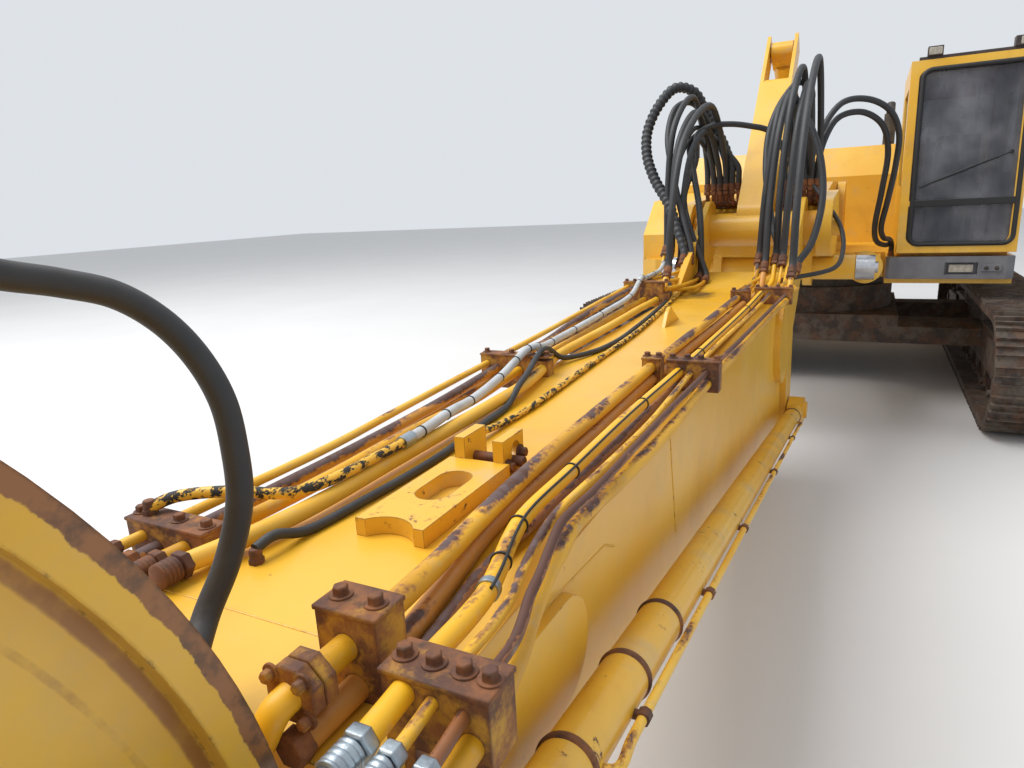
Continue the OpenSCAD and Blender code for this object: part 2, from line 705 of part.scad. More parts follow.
// Pipes on the main boom, columns: radius, climbs to a hose (1) or ends (0), and the points from
// the front to the rear as forward place, offset from the boom's middle and height
right_pipes = [
    [wide_r, 1, [[8800, 214, 1552], [8640, 212, 1551], [8500, 200, 1545], [8300, 175, 1536],
        [8000, 155, 1533], [7500, 149, 1533], [6900, 142, 1533], [5600, 148, 1533], [4340, 128, 1532]]],
    [wide_r, 1, [[8845, 226, 1491], [8640, 222, 1491], [8510, 205, 1491], [8400, 188, 1491],
        [8250, 165, 1491], [7900, 156, 1491], [7600, 160, 1491], [7200, 150, 1491],
        [6900, 148, 1491], [6000, 163, 1491], [5200, 175, 1491], [4800, 190, 1491], [4520, 190, 1491]]],
    [pipe_r, 1, [[8870, 345, 1552], [8850, 345, 1552], [8700, 332, 1549], [8600, 326, 1543], [8530, 317, 1538],
        [8460, 300, 1535], [8350, 269, 1535], [8250, 250, 1535], [8000, 248, 1535],
        [7600, 245, 1535], [7100, 255, 1535], [6500, 262, 1535], [5600, 266, 1535],
        [4900, 255, 1535], [4440, 250, 1535]]],
    [thin_r, 1, [[8870, 388, 1550], [8850, 388, 1550], [8700, 373, 1546], [8600, 366, 1538], [8510, 353, 1532],
        [8440, 336, 1532], [8290, 308, 1532], [8200, 300, 1532], [8000, 306, 1532],
        [7600, 315, 1532], [7200, 302, 1532], [6800, 292, 1532], [6400, 294, 1532],
        [5600, 308, 1532], [4900, 304, 1532], [4490, 300, 1532]]],
    [pipe_r, 1, [[8850, 436, 1506], [8720, 430, 1503], [8640, 414, 1500], [8590, 404, 1500],
        [8530, 388, 1500], [8450, 369, 1500], [8370, 352, 1500], [8290, 342, 1500],
        [8190, 328, 1500], [8090, 330, 1500], [7960, 340, 1500], [7600, 355, 1500],
        [7000, 352, 1500], [6500, 365, 1500], [5400, 389, 1500], [4900, 400, 1500]]],
    [thin_r, 0, [[8870, 432, 1545], [8850, 432, 1545], [8720, 419, 1542], [8620, 413, 1540], [8570, 402, 1540],
        [8510, 385, 1540], [8440, 371, 1540], [8350, 350, 1540], [8250, 331, 1540],
        [8100, 338, 1540], [7800, 340, 1540], [7400, 343, 1540], [7000, 352, 1540],
        [6500, 368, 1540], [5600, 389, 1540], [5060, 400, 1540]]],
    [slim_r, 0, [[8660, 264, 1488], [8500, 245, 1488], [8400, 232, 1488], [8100, 238, 1488],
        [7500, 243, 1488], [6500, 250, 1488], [5100, 250, 1488]]]];
left_pipes = [
    [slim_r, 1, [[8600, -500, 1495], [8300, -468, 1508], [8000, -462, 1510], [7600, -500, 1505],
        [7000, -525, 1513], [6500, -535, 1525], [5600, -550, 1555], [4700, -560, 1585], [4240, -562, 1590]]],
    [pipe_r, 1, [[8600, -455, 1475], [8300, -437, 1482], [8000, -427, 1487], [7500, -447, 1487],
        [6900, -487, 1495], [6500, -495, 1498], [6100, -508, 1525], [5300, -515, 1560],
        [4700, -512, 1575], [4290, -510, 1575]]],
    [pipe_r, 1, [[8600, -370, 1492], [8200, -348, 1490], [7800, -357, 1490], [7400, -350, 1490],
        [7000, -385, 1490], [6600, -400, 1490], [6200, -405, 1490], [5700, -430, 1492],
        [5200, -447, 1495], [4240, -455, 1497]]],
    [wide_r, 1, [[8600, -300, 1500], [8460, -268, 1500], [8300, -248, 1500], [8000, -246, 1500],
        [7500, -244, 1500], [7200, -252, 1500], [6950, -290, 1500], [6720, -328, 1500],
        [6400, -333, 1500], [6000, -336, 1500], [5500, -353, 1500], [4900, -376, 1500]]],
    [pipe_r, 0, [[8550, -510, 1440], [8100, -472, 1440], [7600, -485, 1440], [7000, -490, 1445],
        [6000, -495, 1460], [4950, -497, 1475]]]];

// A pipe climbs by rise over its last 150 mm
rise = 110;
function last(p) = p[len(p) - 1];
function pipe_end(row) = last(row[2]) + [-150, 0, rise];
function pipe_path(row) = row[1] == 0 ? row[2]
    : concat(row[2], [last(row[2]) + [-65, 0, 25], pipe_end(row)]);

flange_l = 40;
flange_r = 40;
bulb = [8886, 110, 1452];
// Elbow from the flange on the first right pipe down to the foreground hose
elbow_path = [right_pipes[0][2][0] + [flange_l - 1, 0, 0], [8862, 210, 1545], [8880, 196, 1508],
    [8886, 170, 1466], [8886, 140, 1452], bulb];

module pipes(rows, grow) translate([0, boom_y, 0]) for (row = rows) tube(pipe_path(row), row[0] + grow);

module pipes_right() color(yellow) rig() {
    pipes(right_pipes, 0);
    translate([0, boom_y, 0]) {
        tube([right_pipes[0][2][0] - [1, 0, 0], right_pipes[0][2][0] + [flange_l, 0, 0]], flange_r);
        tube(elbow_path, wide_r);
        translate(bulb) rotate([-90, 0, 0]) cylinder(h = 36, r = 27);
    }
}
module pipes_left() color(yellow) rig() pipes(left_pipes, 0);

clamp_foot = main_top + 0.3;
side = main_half + 0.3;
// Clamp blocks, columns: rear and front end, inner and outer offset, lower and upper side
right_clamps = [[8670, 8735, 165, 268, clamp_foot, 1600], [8712, 8778, 306, 460, clamp_foot, 1570],
    [8712, 8778, side, 350, 1426, clamp_foot + 1],[6920, 6980, 112, 178, clamp_foot, 1562],
    [6970, 7030, 215, 392, clamp_foot, 1572], [5070, 5130, 105, 212, clamp_foot, 1562],
    [4920, 4980, 220, 430, clamp_foot, 1562]];
left_clamps = [[8480, 8540, -540, -side, 1415, 1525], [8480, 8540, -side - 1, -312, clamp_foot, 1525],
    [6920, 6980, -555, -side, 1415, 1545], [6920, 6980, -side - 1, -262, clamp_foot, 1532],
    [4960, 5020, -585, -side, 1445, 1600], [4960, 5020, -side - 1, -300, clamp_foot, 1532]];

module blocks(rows) for (b = rows)
    translate([b[0], boom_y + b[2], b[4]]) cube([b[1] - b[0], b[3] - b[2], b[5] - b[4]]);

module pipe_clamps() color(rusty) rig() {
    difference() {
        blocks(right_clamps);
        pipes(right_pipes, 0.5);
    }
    difference() {
        blocks(left_clamps);
        pipes(left_pipes, 0.5);
    }
}

// Cylinders

rod_share = 0.55;

// A barrel with its foot eye at p, pointing at q, on both sides, or one in the middle if off is 0;
// start and end are measured from p, the bore begins at hole, half is half the foot eye's width
module barrels(p, q, off, r, start, end, hole, eye_r, bore_r, half) for (s = off > 0 ? [-1, 1] : [1]) {
    y = boom_y + s * off;
    difference() {
        union() {
            rod(along(p, q, start), along(p, q, end), y, r);
            rod(along(p, q, end - 90), along(p, q, end), y, r + 14);
            slab(y - half, y + half) bar(p, eye_r, along(p, q, start + 20), r * 0.7);
        }
        pin(p, bore_r + fit, y - half - 5, y + half + 5);
        rod(along(p, q, hole), along(p, q, end + 10), y, r * rod_share + fit);
    }
}

// A rod from begin inside its barrel to its eye at q, placed like its barrel; half is half the eye's
// width and stub half the length of the pin that is left in the eye
module rods(p, q, off, r, begin, eye_r, half, stub) for (s = off > 0 ? [-1, 1] : [1]) {
    y = boom_y + s * off;
    rod(along(p, q, begin), along(q, p, eye_r * 0.5), y, r * rod_share);
    pin(q, eye_r, y - half, y + half);
    pin(q, 45, y - (s > 0 ? half : stub), y + (s > 0 ? stub : half));
}

hoist_end = 1400;
adjust_end = 1560;
stick_end = 4550;

module hoist_barrels() color(yellow) rig()
    barrels(hoist_foot, hoist_eye, hoist_off, hoist_r, 140, hoist_end, 330, 90, 45, hoist_r - 25);
module hoist_rods() color(steel) rig()
    rods(hoist_foot, hoist_eye, hoist_off, hoist_r, 370, 100, 70, 95);
module adjust_barrels() color(yellow) rig()
    barrels(adjust_pin, adjust_eye, 0, adjust_r, 130, adjust_end, 260, 80, 45, adjust_r - 5);
module adjust_rods() color(steel) rig()
    rods(adjust_pin, adjust_eye, 0, adjust_r, 470, 75, adjust_r, adjust_r);
module stick_barrels() color(yellow) rig()
    barrels(keel, stick_pin, stick_off, stick_cyl_r, 120, stick_end, 3650, 90, 60.3, stick_cyl_r);
module stick_rods() color(steel) rig()
    rods(keel, stick_pin, stick_off, stick_cyl_r, 3700, 70, 50, 75);

// Stick

heel_c = wrist + [376, 422];
heel_top = 122;
heel_low = 205;
nose_l = 360;
function heel_arc(r) = [for (a = [heel_low:-3.95:heel_top]) heel_c + r * [cos(a), sin(a)]];

module stick_side(r) polygon(concat(heel_arc(r),
    [wrist + [10, 1200], wrist + [600, 910], wrist + [1150, 840], [tip_x - nose_l, tip_z + 150],
    [tip_x - nose_l, tip_z - 150], wrist + [200, -230], wrist + [-130, -250]]));

// The hoses from the main boom end on the rear side of lug_x, at the height lug_z
lug_x = wrist_x + 249.3;
lug_z = wrist_z + 540;

module stick() color(yellow) rig() {
    difference() {
        union() {
            slab(boom_y - stick_half, boom_y + stick_half) stick_side(heel_r - 12);
            slab(boom_y - stick_half - heel_lip, boom_y + stick_half + heel_lip) intersection() {
                difference() {
                    translate(heel_c) circle(heel_r, $fn = 120);
                    translate(heel_c) circle(heel_r - 45, $fn = 120);
                }
                translate(wrist + [-750, 50]) square([520, 1200]);
            }
            slab(boom_y - 165, boom_y + 165) bar([tip_x - nose_l - 60, tip_z], 150, tip, 140);
            pin(stick_pin, 45, boom_y - stick_off + 55, boom_y + stick_off - 55);
            translate([lug_x, boom_y + stick_half - 1, lug_z - 40]) cube([90, 160, 80]);
        }
        pin(wrist, 55 + fit, boom_y - 400, boom_y + 400);
    }
    pin(tip, 45, boom_y - 230, boom_y + 230);
}

// Hammer

yoke_half = 470;
exciter_z = tip_z - 400;

module hammer_yoke() color(yellow) rig() {
    difference() {
        pair(172, 222) {
            bar(tip, 110, tip + [0, -180], 130);
            translate([tip_x - 160, tip_z - 270]) square([320, 60]);
        }
        pin(tip, 45 + fit, boom_y - 240, boom_y + 240);
    }
    translate([tip_x - 170, boom_y - yoke_half, tip_z - 330]) cube([340, 2 * yoke_half, 61]);
    pair(yoke_half - 40, yoke_half) translate([tip_x - 170, tip_z - 330 - 400]) square([340, 401]);
}

mount_x = 90;
module rubber_mounts() color(dark) rig() for (s = [-1, 1], x = [-mount_x, mount_x], z = [-130, -270])
    pin([tip_x + x, exciter_z + z + 60], 60,
        min(boom_y + s * exciter_w / 2, boom_y + s * (yoke_half - 40)),
        max(boom_y + s * exciter_w / 2, boom_y + s * (yoke_half - 40)));

module exciter() color(yellow) rig() {
    translate([tip_x - exciter_d / 2, boom_y - exciter_w / 2, exciter_z - exciter_h])
        cube([exciter_d, exciter_w, exciter_h]);
    for (s = [-1, 1], y = [-170, 170])
        translate([tip_x + (s > 0 ? exciter_d / 2 - 1 : -exciter_d / 2 + 1), boom_y + y, exciter_z - 235])
            rotate([0, s * 90, 0]) cylinder(h = s > 0 ? 121 : 40, r = s > 0 ? 95 : 130);
}

clamp_top = exciter_z - exciter_h;
module clamp_body() color(yellow) rig() {
    translate([tip_x - 110, boom_y - 190, clamp_top - 130]) cube([220, 380, 130]);
    translate([tip_x - 110, boom_y - 190, clamp_top - 370]) cube([220, 110, 241]);
    difference() {
        translate([tip_x - 110, boom_y + 70, clamp_top - 370]) cube([220, 120, 241]);
        translate([tip_x, boom_y + 60, clamp_top - 270]) rotate([-90, 0, 0]) cylinder(h = 140, r = 60 + fit);
    }
}

module clamp_jaw() color(steel) rig()
    translate([tip_x, boom_y + 30, clamp_top - 270]) rotate([-90, 0, 0]) cylinder(h = 150, r = 60);

// Hoses over the elbow, columns: the pipe a hose leaves, the points between as forward place,
// offset from the boom's middle and height, and the offset of the coupling it ends at
left_hoses = [
    [left_pipes[0], [[4020, -560, 2100], [3900, -545, 2620], [3500, -490, 2860], [3240, -440, 2450],
        [3225, -425, 2110]], -425],
    [left_pipes[1], [[4080, -508, 2080], [3960, -490, 2520], [3600, -440, 2740], [3300, -390, 2420],
        [3235, -375, 2108]], -375],
    [left_pipes[2], [[4000, -450, 2050], [3840, -420, 2450], [3520, -370, 2600], [3270, -335, 2360],
        [3235, -325, 2105]], -325],
    [left_pipes[3], [[4640, -374, 2000], [4380, -360, 2480], [3700, -310, 2760], [3290, -280, 2400],
        [3235, -275, 2108]], -275]];
right_hoses = [
    [right_pipes[0], [[4110, 150, 2120], [3930, 190, 2640], [3560, 212, 2770], [3290, 222, 2420],
        [3232, 225, 2110]], 225],
    [right_pipes[1], [[4235, 195, 2050], [4080, 225, 2560], [3650, 255, 2800], [3330, 270, 2420],
        [3240, 275, 2110]], 275],
    [right_pipes[2], [[4255, 262, 2120], [4080, 290, 2700], [3620, 312, 2960], [3270, 325, 2500],
        [3225, 325, 2115]], 325],
    [right_pipes[3], [[4290, 318, 2080], [4130, 345, 2600], [3640, 365, 2850], [3340, 375, 2420],
        [3245, 375, 2108]], 375],
    [right_pipes[4], [[4640, 402, 2050], [4350, 408, 2600], [3700, 418, 3000], [3260, 425, 2520],
        [3222, 425, 2115]], 425]];

// A hose with a straight stretch square to the fitting at either end
module hose(path, r) {
    m = len(path);
    tube(concat([path[0]], smooth([for (i = [1:m - 2]) path[i]], 2), [path[m - 1]]), r);
}

module over_elbow(rows) color(dark) rig() translate([0, boom_y, 0]) for (row = rows) {
    tail = [row_x + 59 + coupling_l, row[2], row_z + 30];
    hose(concat([pipe_end(row[0]) + [-0.4, 0, 0.4], pipe_end(row[0]) + [-40, 0, 40]], row[1],
        [tail + [61, 0, 0], tail + [0.6, 0, 0]]), hose_r);
}
module hoses_left() over_elbow(left_hoses);
module hoses_right() over_elbow(right_hoses);

// Hoses to the stick, columns: the pipe a hose leaves, radius, the points between, offset at the lug
front_hoses = [
    [right_pipes[2], pipe_r - 1, [[9100, 352, 1556], [9300, 352, 1550], [9600, 342, 1530]], 322],
    [right_pipes[3], thin_r + 3, [[9100, 398, 1562], [9300, 402, 1568], [9600, 385, 1556]], 362],
    [right_pipes[5], thin_r + 3, [[9100, 440, 1562], [9300, 436, 1572], [9600, 422, 1560]], 402]];
big_hose_r = 19;
// The foreground hose, from the bulb up in a bow and over the heel to the stick's side
big_hose = [bulb + [0, -0.4, 0], bulb + [0, -14, 0], [8882, 76, 1486], [8870, 64, 1536], [8799, 21, 1585],
    [8751, 27, 1654], [8721, 34, 1735], [8709, 26, 1806], [8707, 14, 1879], [8718, -12, 1945],
    [8742, -40, 1997], [8779, -70, 2036], [8833, -93, 2058], [8910, -100, 2080], [9020, -60, 2130],
    [9160, 50, 2200], [9320, 200, 2275], [9450, 310, 2250], [9600, 350, 2080], [9700, 335, 1850],
    [9760, 325, 1660], [lug_x + 45, 318, lug_z + 90], [lug_x + 45, 318, lug_z + 40.4]];

module hoses_front() color(dark) rig() translate([0, boom_y, 0]) {
    for (row = front_hoses) {
        a = row[0][2][0];
        hose(concat([a + [0.4, 0, 0], a + [40, 0, 0]], row[2],
            [[lug_x - 50, row[3], lug_z], [lug_x - 0.5, row[3], lug_z]]), row[1]);
    }
    hose(big_hose, big_hose_r);
}

carbody();
track_frame_left();
track_frame_right();
track_left();
track_right();
idlers();
sprockets();
track_rollers();
slew_ring();
deck();
bumper();
engine_hood();
engine();
counterweight();
tank_cabinet();
exhaust();
handrails();
cab_shell();
cab_glass();
cab_seat();
roof_lamps();
cab_door();
door_glass();
base_boom();
base_pipes();
coupling_row();
hoist_barrels();
hoist_rods();
main_boom();
lock_plate();
pipes_left();
pipes_right();
pipe_clamps();
adjust_barrels();
adjust_rods();
stick_barrels();
stick_rods();
stick();
hammer_yoke();
rubber_mounts();
exciter();
clamp_body();
clamp_jaw();
hoses_left();
hoses_right();
hoses_front();
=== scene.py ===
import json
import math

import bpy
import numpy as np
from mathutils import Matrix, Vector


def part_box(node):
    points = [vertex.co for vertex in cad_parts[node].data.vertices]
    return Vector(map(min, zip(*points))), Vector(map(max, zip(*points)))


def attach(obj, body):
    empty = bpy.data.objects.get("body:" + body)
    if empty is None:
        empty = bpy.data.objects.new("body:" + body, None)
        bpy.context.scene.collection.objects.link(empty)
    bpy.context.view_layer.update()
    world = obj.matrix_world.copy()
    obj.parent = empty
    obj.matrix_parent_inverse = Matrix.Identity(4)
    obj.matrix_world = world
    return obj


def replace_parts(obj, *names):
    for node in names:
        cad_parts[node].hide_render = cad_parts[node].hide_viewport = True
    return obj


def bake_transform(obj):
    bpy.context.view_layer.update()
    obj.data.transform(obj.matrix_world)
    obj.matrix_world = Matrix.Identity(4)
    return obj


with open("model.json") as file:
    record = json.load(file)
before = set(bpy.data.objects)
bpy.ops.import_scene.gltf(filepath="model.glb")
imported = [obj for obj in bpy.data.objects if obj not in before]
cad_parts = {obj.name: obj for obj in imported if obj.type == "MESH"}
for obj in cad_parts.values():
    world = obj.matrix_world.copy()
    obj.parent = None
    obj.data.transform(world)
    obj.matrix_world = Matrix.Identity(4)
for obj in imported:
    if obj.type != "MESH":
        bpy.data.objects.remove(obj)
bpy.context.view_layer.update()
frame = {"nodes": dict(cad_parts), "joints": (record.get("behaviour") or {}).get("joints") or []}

# %% [markdown]
# A pile driver rig on tracks, dressed around its finished construction. The steel pieces come
# from the frame that was just loaded. This lesson gives them paint, rust and rubber, and adds what
# is too fine for the construction: bent pipes, hoses, fittings, bolts and seals.
# Everything is in metres, with X towards the hammer, Y towards the cab and Z up.

NODES = frame["nodes"]
JOINTS = {joint["name"]: joint for joint in frame["joints"]}
SWING_X = JOINTS["slew"]["pos_m"][0]
BOOM_Y = JOINTS["boom_bend"]["pos_m"][1]

# %% [markdown]
# Places on a boom are easiest to say as a workshop would: how far in front of the swing axis, how
# far beside the boom's middle, and how high over the ground. One small function turns such places
# into points of the frame, for a single place or for a whole array of them.

# %% Places along the boom
def place(points):
    """Rows of (distance before the swing axis, offset from the boom's middle, height) as points."""
    rows = np.atleast_2d(np.asarray(points, float))
    return rows + np.array([SWING_X, BOOM_Y, 0.0])


def place_mm(points):
    """The same for rows in millimetres."""
    return place(np.array(points) / 1000.0)


print("the boom's hinge lies at X =", round(float(JOINTS["boom_bend"]["pos_m"][0]), 3))

# %% [markdown]
# The camera stands beside the round heel of the stick and looks back along the main boom to the
# cab. Its turn is given as three angles. The roll is applied about the line of sight.

# %% Camera
EYE = (9.359, 0.813, 2.125)
YAW, PITCH, ROLL = (math.radians(a) for a in (27.39, 14.50, -2.94))
LENS_MM = 24.37


def camera_matrix(eye, yaw, pitch, roll):
    """The camera's axes as columns: right and up turned by the roll, and the line of sight reversed."""
    sight = -np.array([math.cos(yaw) * math.cos(pitch), math.sin(yaw) * math.cos(pitch), math.sin(pitch)])
    right = np.cross(sight, [0, 0, 1])
    right /= np.linalg.norm(right)
    up = np.cross(right, sight)
    axes = np.eye(4)
    axes[:3, 0] = math.cos(roll) * right + math.sin(roll) * up
    axes[:3, 1] = math.cos(roll) * up - math.sin(roll) * right
    axes[:3, 2] = -sight
    axes[:3, 3] = eye
    return axes


camera_data = bpy.data.cameras.new("view_along_boom")
camera_data.lens = LENS_MM
camera_data.sensor_width = 36.0
camera_data.clip_start = 0.05
camera_data.clip_end = 200.0
camera = bpy.data.objects.new("view_along_boom", camera_data)
bpy.context.scene.collection.objects.link(camera)
camera.matrix_world = Matrix(camera_matrix(place(EYE)[0], YAW, PITCH, ROLL))
bpy.context.scene.camera = camera
print("the camera stands at", [round(value, 2) for value in camera.matrix_world.translation])

# %% [markdown]
# Shader formulas read best as arithmetic. A Field wraps one output of a node, and the usual signs
# between Fields and numbers add the Math nodes behind them. Every other node comes from one method
# of the Finish, which is a material while it is being made.

# %% Arithmetic on shader sockets
class Field:
    """One value that changes over a surface. Signs between Fields and numbers add Math nodes."""

    def __init__(self, tree, socket):
        self.tree = tree
        self.socket = socket

    def math(self, operation, *values):
        """A Math node between Fields and numbers."""
        node = self.tree.nodes.new("ShaderNodeMath")
        node.operation = operation
        for slot, value in zip(node.inputs, values):
            if isinstance(value, Field):
                self.tree.links.new(value.socket, slot)
            else:
                slot.default_value = value
        return Field(self.tree, node.outputs[0])

    def __add__(self, other):
        return self.math("ADD", self, other)

    def __sub__(self, other):
        return self.math("SUBTRACT", self, other)

    def __rsub__(self, other):
        return self.math("SUBTRACT", other, self)

    def __mul__(self, other):
        return self.math("MULTIPLY", self, other)

    def __pow__(self, other):
        return self.math("POWER", self, other)

    __radd__ = __add__
    __rmul__ = __mul__

    def between(self, low, high):
        """0 at low, 1 at high, with a soft start and end."""
        node = self.tree.nodes.new("ShaderNodeMapRange")
        node.interpolation_type = "SMOOTHSTEP"
        self.tree.links.new(self.socket, node.inputs[0])
        node.inputs[1].default_value = low
        node.inputs[2].default_value = high
        return Field(self.tree, node.outputs[0])


class Finish:
    """A material while it is made: its nodes, its coordinates and its Principled shader."""

    def __init__(self, name, roughness=0.5, metallic=0.0):
        self.material = bpy.data.materials.new(name)
        self.material.use_nodes = True
        self.tree = self.material.node_tree
        self.shader = self.tree.nodes["Principled BSDF"]
        self.shader.inputs["Roughness"].default_value = roughness
        self.shader.inputs["Metallic"].default_value = metallic
        self.place = self.node("TexCoord", output="Object")

    def node(self, kind, settings=None, inputs=None, output=0):
        """Adds a node: its settings first, then the values or links of its sockets."""
        made = self.tree.nodes.new("ShaderNode" + kind)
        for name, value in (settings or {}).items():
            if name == "stops":
                ramp = made.color_ramp
                while len(ramp.elements) < len(value):
                    ramp.elements.new(0.5)
                for element, (position, colour) in zip(ramp.elements, value):
                    element.position = position
                    element.color = (*colour, 1.0)
            else:
                setattr(made, name, value)
        for name, value in (inputs or {}).items():
            self.feed(made.inputs[name], value)
        return Field(self.tree, made.outputs[output])

    def feed(self, slot, value):
        """Links a Field to a socket, or sets the socket to a number or colour."""
        if isinstance(value, Field):
            self.tree.links.new(value.socket, slot)
        elif isinstance(value, tuple) and len(value) == 3 and len(slot.default_value) == 4:
            slot.default_value = (*value, 1.0)
        else:
            slot.default_value = value

    def noise(self, scale, detail=3.0, roughness=0.55, where=None):
        """Cloudy noise from 0 to 1 with lumps of about 1 / scale metres."""
        inputs = {"Vector": where or self.place, "Scale": scale, "Detail": detail, "Roughness": roughness}
        return self.node("TexNoise", inputs=inputs)

    def stretched(self, x, y, z):
        """The place with each direction scaled, which draws a pattern out along the smallest one."""
        return self.node("Mapping", inputs={"Vector": self.place, "Scale": (x, y, z)})

    def axis(self, letter):
        """One coordinate of the place as a Field."""
        return self.node("SeparateXYZ", inputs={"Vector": self.place}, output=letter)

    def up(self):
        """How far a face looks up, from -1 to 1."""
        normal = self.node("NewGeometry", output="Normal")
        return self.node("SeparateXYZ", inputs={"Vector": normal}, output="Z")

    def edges(self, radius):
        """Near 1 along sharp edges: how far a rounded normal leaves the flat one."""
        rounded = self.node("Bevel", {"samples": 4}, {"Radius": radius})
        flat = self.node("NewGeometry", output="Normal")
        settings = {"operation": "DOT_PRODUCT"}
        return 1.0 - self.node("VectorMath", settings, {0: rounded, 1: flat}, "Value")

    def mix(self, share, first, second):
        """The first colour where the share is 0 and the second where it is 1."""
        return self.node("Mix", {"data_type": "RGBA"}, {0: share, 6: first, 7: second}, 2)

    def bump(self, height, distance, rounded=None):
        """Feeds the shader's Normal from a height, over rounded edges where a radius is given."""
        inputs = {"Height": height, "Distance": distance}
        if rounded:
            inputs["Normal"] = self.node("Bevel", {"samples": 4}, {"Radius": rounded})
        self.feed(self.shader.inputs["Normal"], self.node("Bump", inputs=inputs))

    def colour(self, value):
        """Feeds the shader's Base Color."""
        self.feed(self.shader.inputs["Base Color"], value)

    def rough(self, value):
        """Feeds the shader's Roughness."""
        self.feed(self.shader.inputs["Roughness"], value)


print("finishes are made with", Field.__name__, "and", Finish.__name__)

# %% [markdown]
# Yellow paint on an old working machine is never one colour. It is a warm yellow with a slow change
# of tone, dust on what faces up, dark grease in places, and rust where the paint has chipped. Chips
# start at edges, so the edge mask is added to the noise before it is cut off at a threshold.

# %% Yellow paint
YELLOW = (0.72, 0.375, 0.012)
FADED = (0.77, 0.46, 0.055)
SHADED = (0.52, 0.25, 0.008)
DUST = (0.42, 0.35, 0.24)
RUST = (0.085, 0.032, 0.018)
RUST_BRIGHT = (0.26, 0.095, 0.028)
GREASE = (0.030, 0.022, 0.015)
HEEL_X, HEEL_Z, HEEL_R = SWING_X + 9.926, 1.372, 1.005
PLATE_INNER, PLATE_OUTER = 0.258, 0.276
GROOVE_WIDE_R, GROOVE_THIN_R = HEEL_R - 0.054, HEEL_R - 0.094
STAIN_X, STAIN_Y = SWING_X + 4.62, BOOM_Y - 0.20


def band(distance, middle, half, soft=0.006):
    """1 where a distance is within half of the middle, with soft borders."""
    inner, outer = middle - half, middle + half
    return distance.between(inner - soft, inner) - distance.between(outer, outer + soft)


def rim_wear(finish):
    """Rust on the heel's rim, and painted shade mixed with rust in the grooves inside it, by the distance
    from the heel's centre.
    """
    along = finish.axis("X") - HEEL_X
    rise = finish.axis("Z") - HEEL_Z
    reach = (along * along + rise * rise) ** 0.5
    torn = finish.noise(26.0, 7.0, 0.65) * 0.9 + finish.noise(6.0, 3.0) * 0.5
    beside = finish.axis("Y") - BOOM_Y
    side = (beside * beside).between(PLATE_INNER**2, PLATE_OUTER**2)
    front = 1.0 - finish.axis("X").between(HEEL_X + 0.1, HEEL_X + 0.5)
    rim = (band(reach, HEEL_R, 0.008, 0.026) * side * front + torn).between(1.30, 1.42)
    # The groove lines are painted shade just inside the rim's lip, with rust mixed in.
    groove = band(reach, GROOVE_WIDE_R, 0.004, 0.012) + band(reach, GROOVE_THIN_R, 0.002, 0.007) * 0.7
    groove_rust_and_shade = (groove * front + torn * 0.7).between(1.10, 1.55)
    return rim, groove_rust_and_shade


def oil_stain(finish):
    """Share of old oil round one place of the plate: nearness with a border torn by noise."""
    along = (finish.axis("X") - STAIN_X) * 1.6
    across = (finish.axis("Y") - STAIN_Y) * 2.6
    reach = (along * along + across * across) ** 0.5 + finish.noise(9.0, 7.0, 0.7) * 0.9
    return 1.0 - reach.between(0.52, 0.86)


def yellow_paint(name, chips=0.5, grime=0.3, edge=0.006, streaks=0.0, rim=False, stain=False):
    """Paint: tone noise, dust by the upward share, and chips where noise plus edge mask is high."""
    finish = Finish(name, roughness=0.38)
    tone = finish.noise(0.9, 4.0)
    colour = finish.mix(tone.between(0.35, 0.7), YELLOW, FADED)
    colour = finish.mix(finish.noise(3.1, 5.0).between(0.5, 0.8) * 0.45, colour, SHADED)
    dirt = finish.noise(5.0, 8.0, 0.68).between(0.48, 0.75) * grime
    colour = finish.mix(dirt, colour, DUST)
    edges = finish.edges(edge).between(0.02, 0.30)
    speck = finish.noise(38.0, 6.0, 0.62)
    blot = finish.noise(4.5, 3.0)
    wear = speck * 0.62 + blot * 0.38 + edges * 0.16 * (0.4 + chips)
    if rim:
        rim_rust, groove_rust_and_shade = rim_wear(finish)
        # Painted shade with rust along the grooves inside the heel's rim.
        colour = finish.mix(groove_rust_and_shade * 0.85, colour, RUST_BRIGHT)
        colour = finish.mix(rim_rust * 0.95, colour, finish.mix(speck.between(0.35, 0.6), RUST, RUST_BRIGHT))
    if stain:
        colour = finish.mix(oil_stain(finish) * 0.85, colour, GREASE)
    limit = 0.715 - 0.10 * chips
    chip = wear.between(limit, limit + 0.014)
    halo = wear.between(limit - 0.05, limit + 0.01) * 0.55
    colour = finish.mix(halo, colour, RUST_BRIGHT)
    rust = finish.mix(finish.noise(60.0, 4.0).between(0.35, 0.65), RUST, GREASE)
    colour = finish.mix(chip, colour, rust)
    if streaks:
        run = finish.noise(1.0, 5.0, where=finish.stretched(9.0, 9.0, 0.8)).between(0.52, 0.8)
        colour = finish.mix(run * streaks, colour, SHADED)
    finish.colour(colour)
    finish.rough(0.30 + 0.16 * finish.noise(12.0, 5.0) + chip * 0.35 + dirt * 0.2)
    height = finish.noise(24.0, 3.0) * 0.12 + finish.noise(160.0, 2.0) * 0.05 - chip * 0.5
    finish.bump(height, 0.0016, rounded=edge * 0.6)
    finish.shader.inputs["Coat Weight"].default_value = 0.25
    finish.shader.inputs["Coat Roughness"].default_value = 0.18
    return finish.material


PAINT = yellow_paint("paint_body", chips=0.35, grime=0.30)
PAINT_BOOM = yellow_paint("paint_boom", chips=0.30, grime=0.22, edge=0.008, stain=True)
PAINT_STICK = yellow_paint("paint_stick", chips=0.30, grime=0.30, edge=0.010, rim=True)
PAINT_WORN = yellow_paint("paint_worn", chips=0.95, grime=0.55, edge=0.005)
PAINT_BARREL = yellow_paint("paint_barrel", chips=0.85, grime=0.60, edge=0.006, streaks=0.5)
PAINT_CAB = yellow_paint("paint_cab", chips=0.15, grime=0.25, edge=0.012, streaks=0.35)
print(len(bpy.data.materials), "materials so far, with the paints")

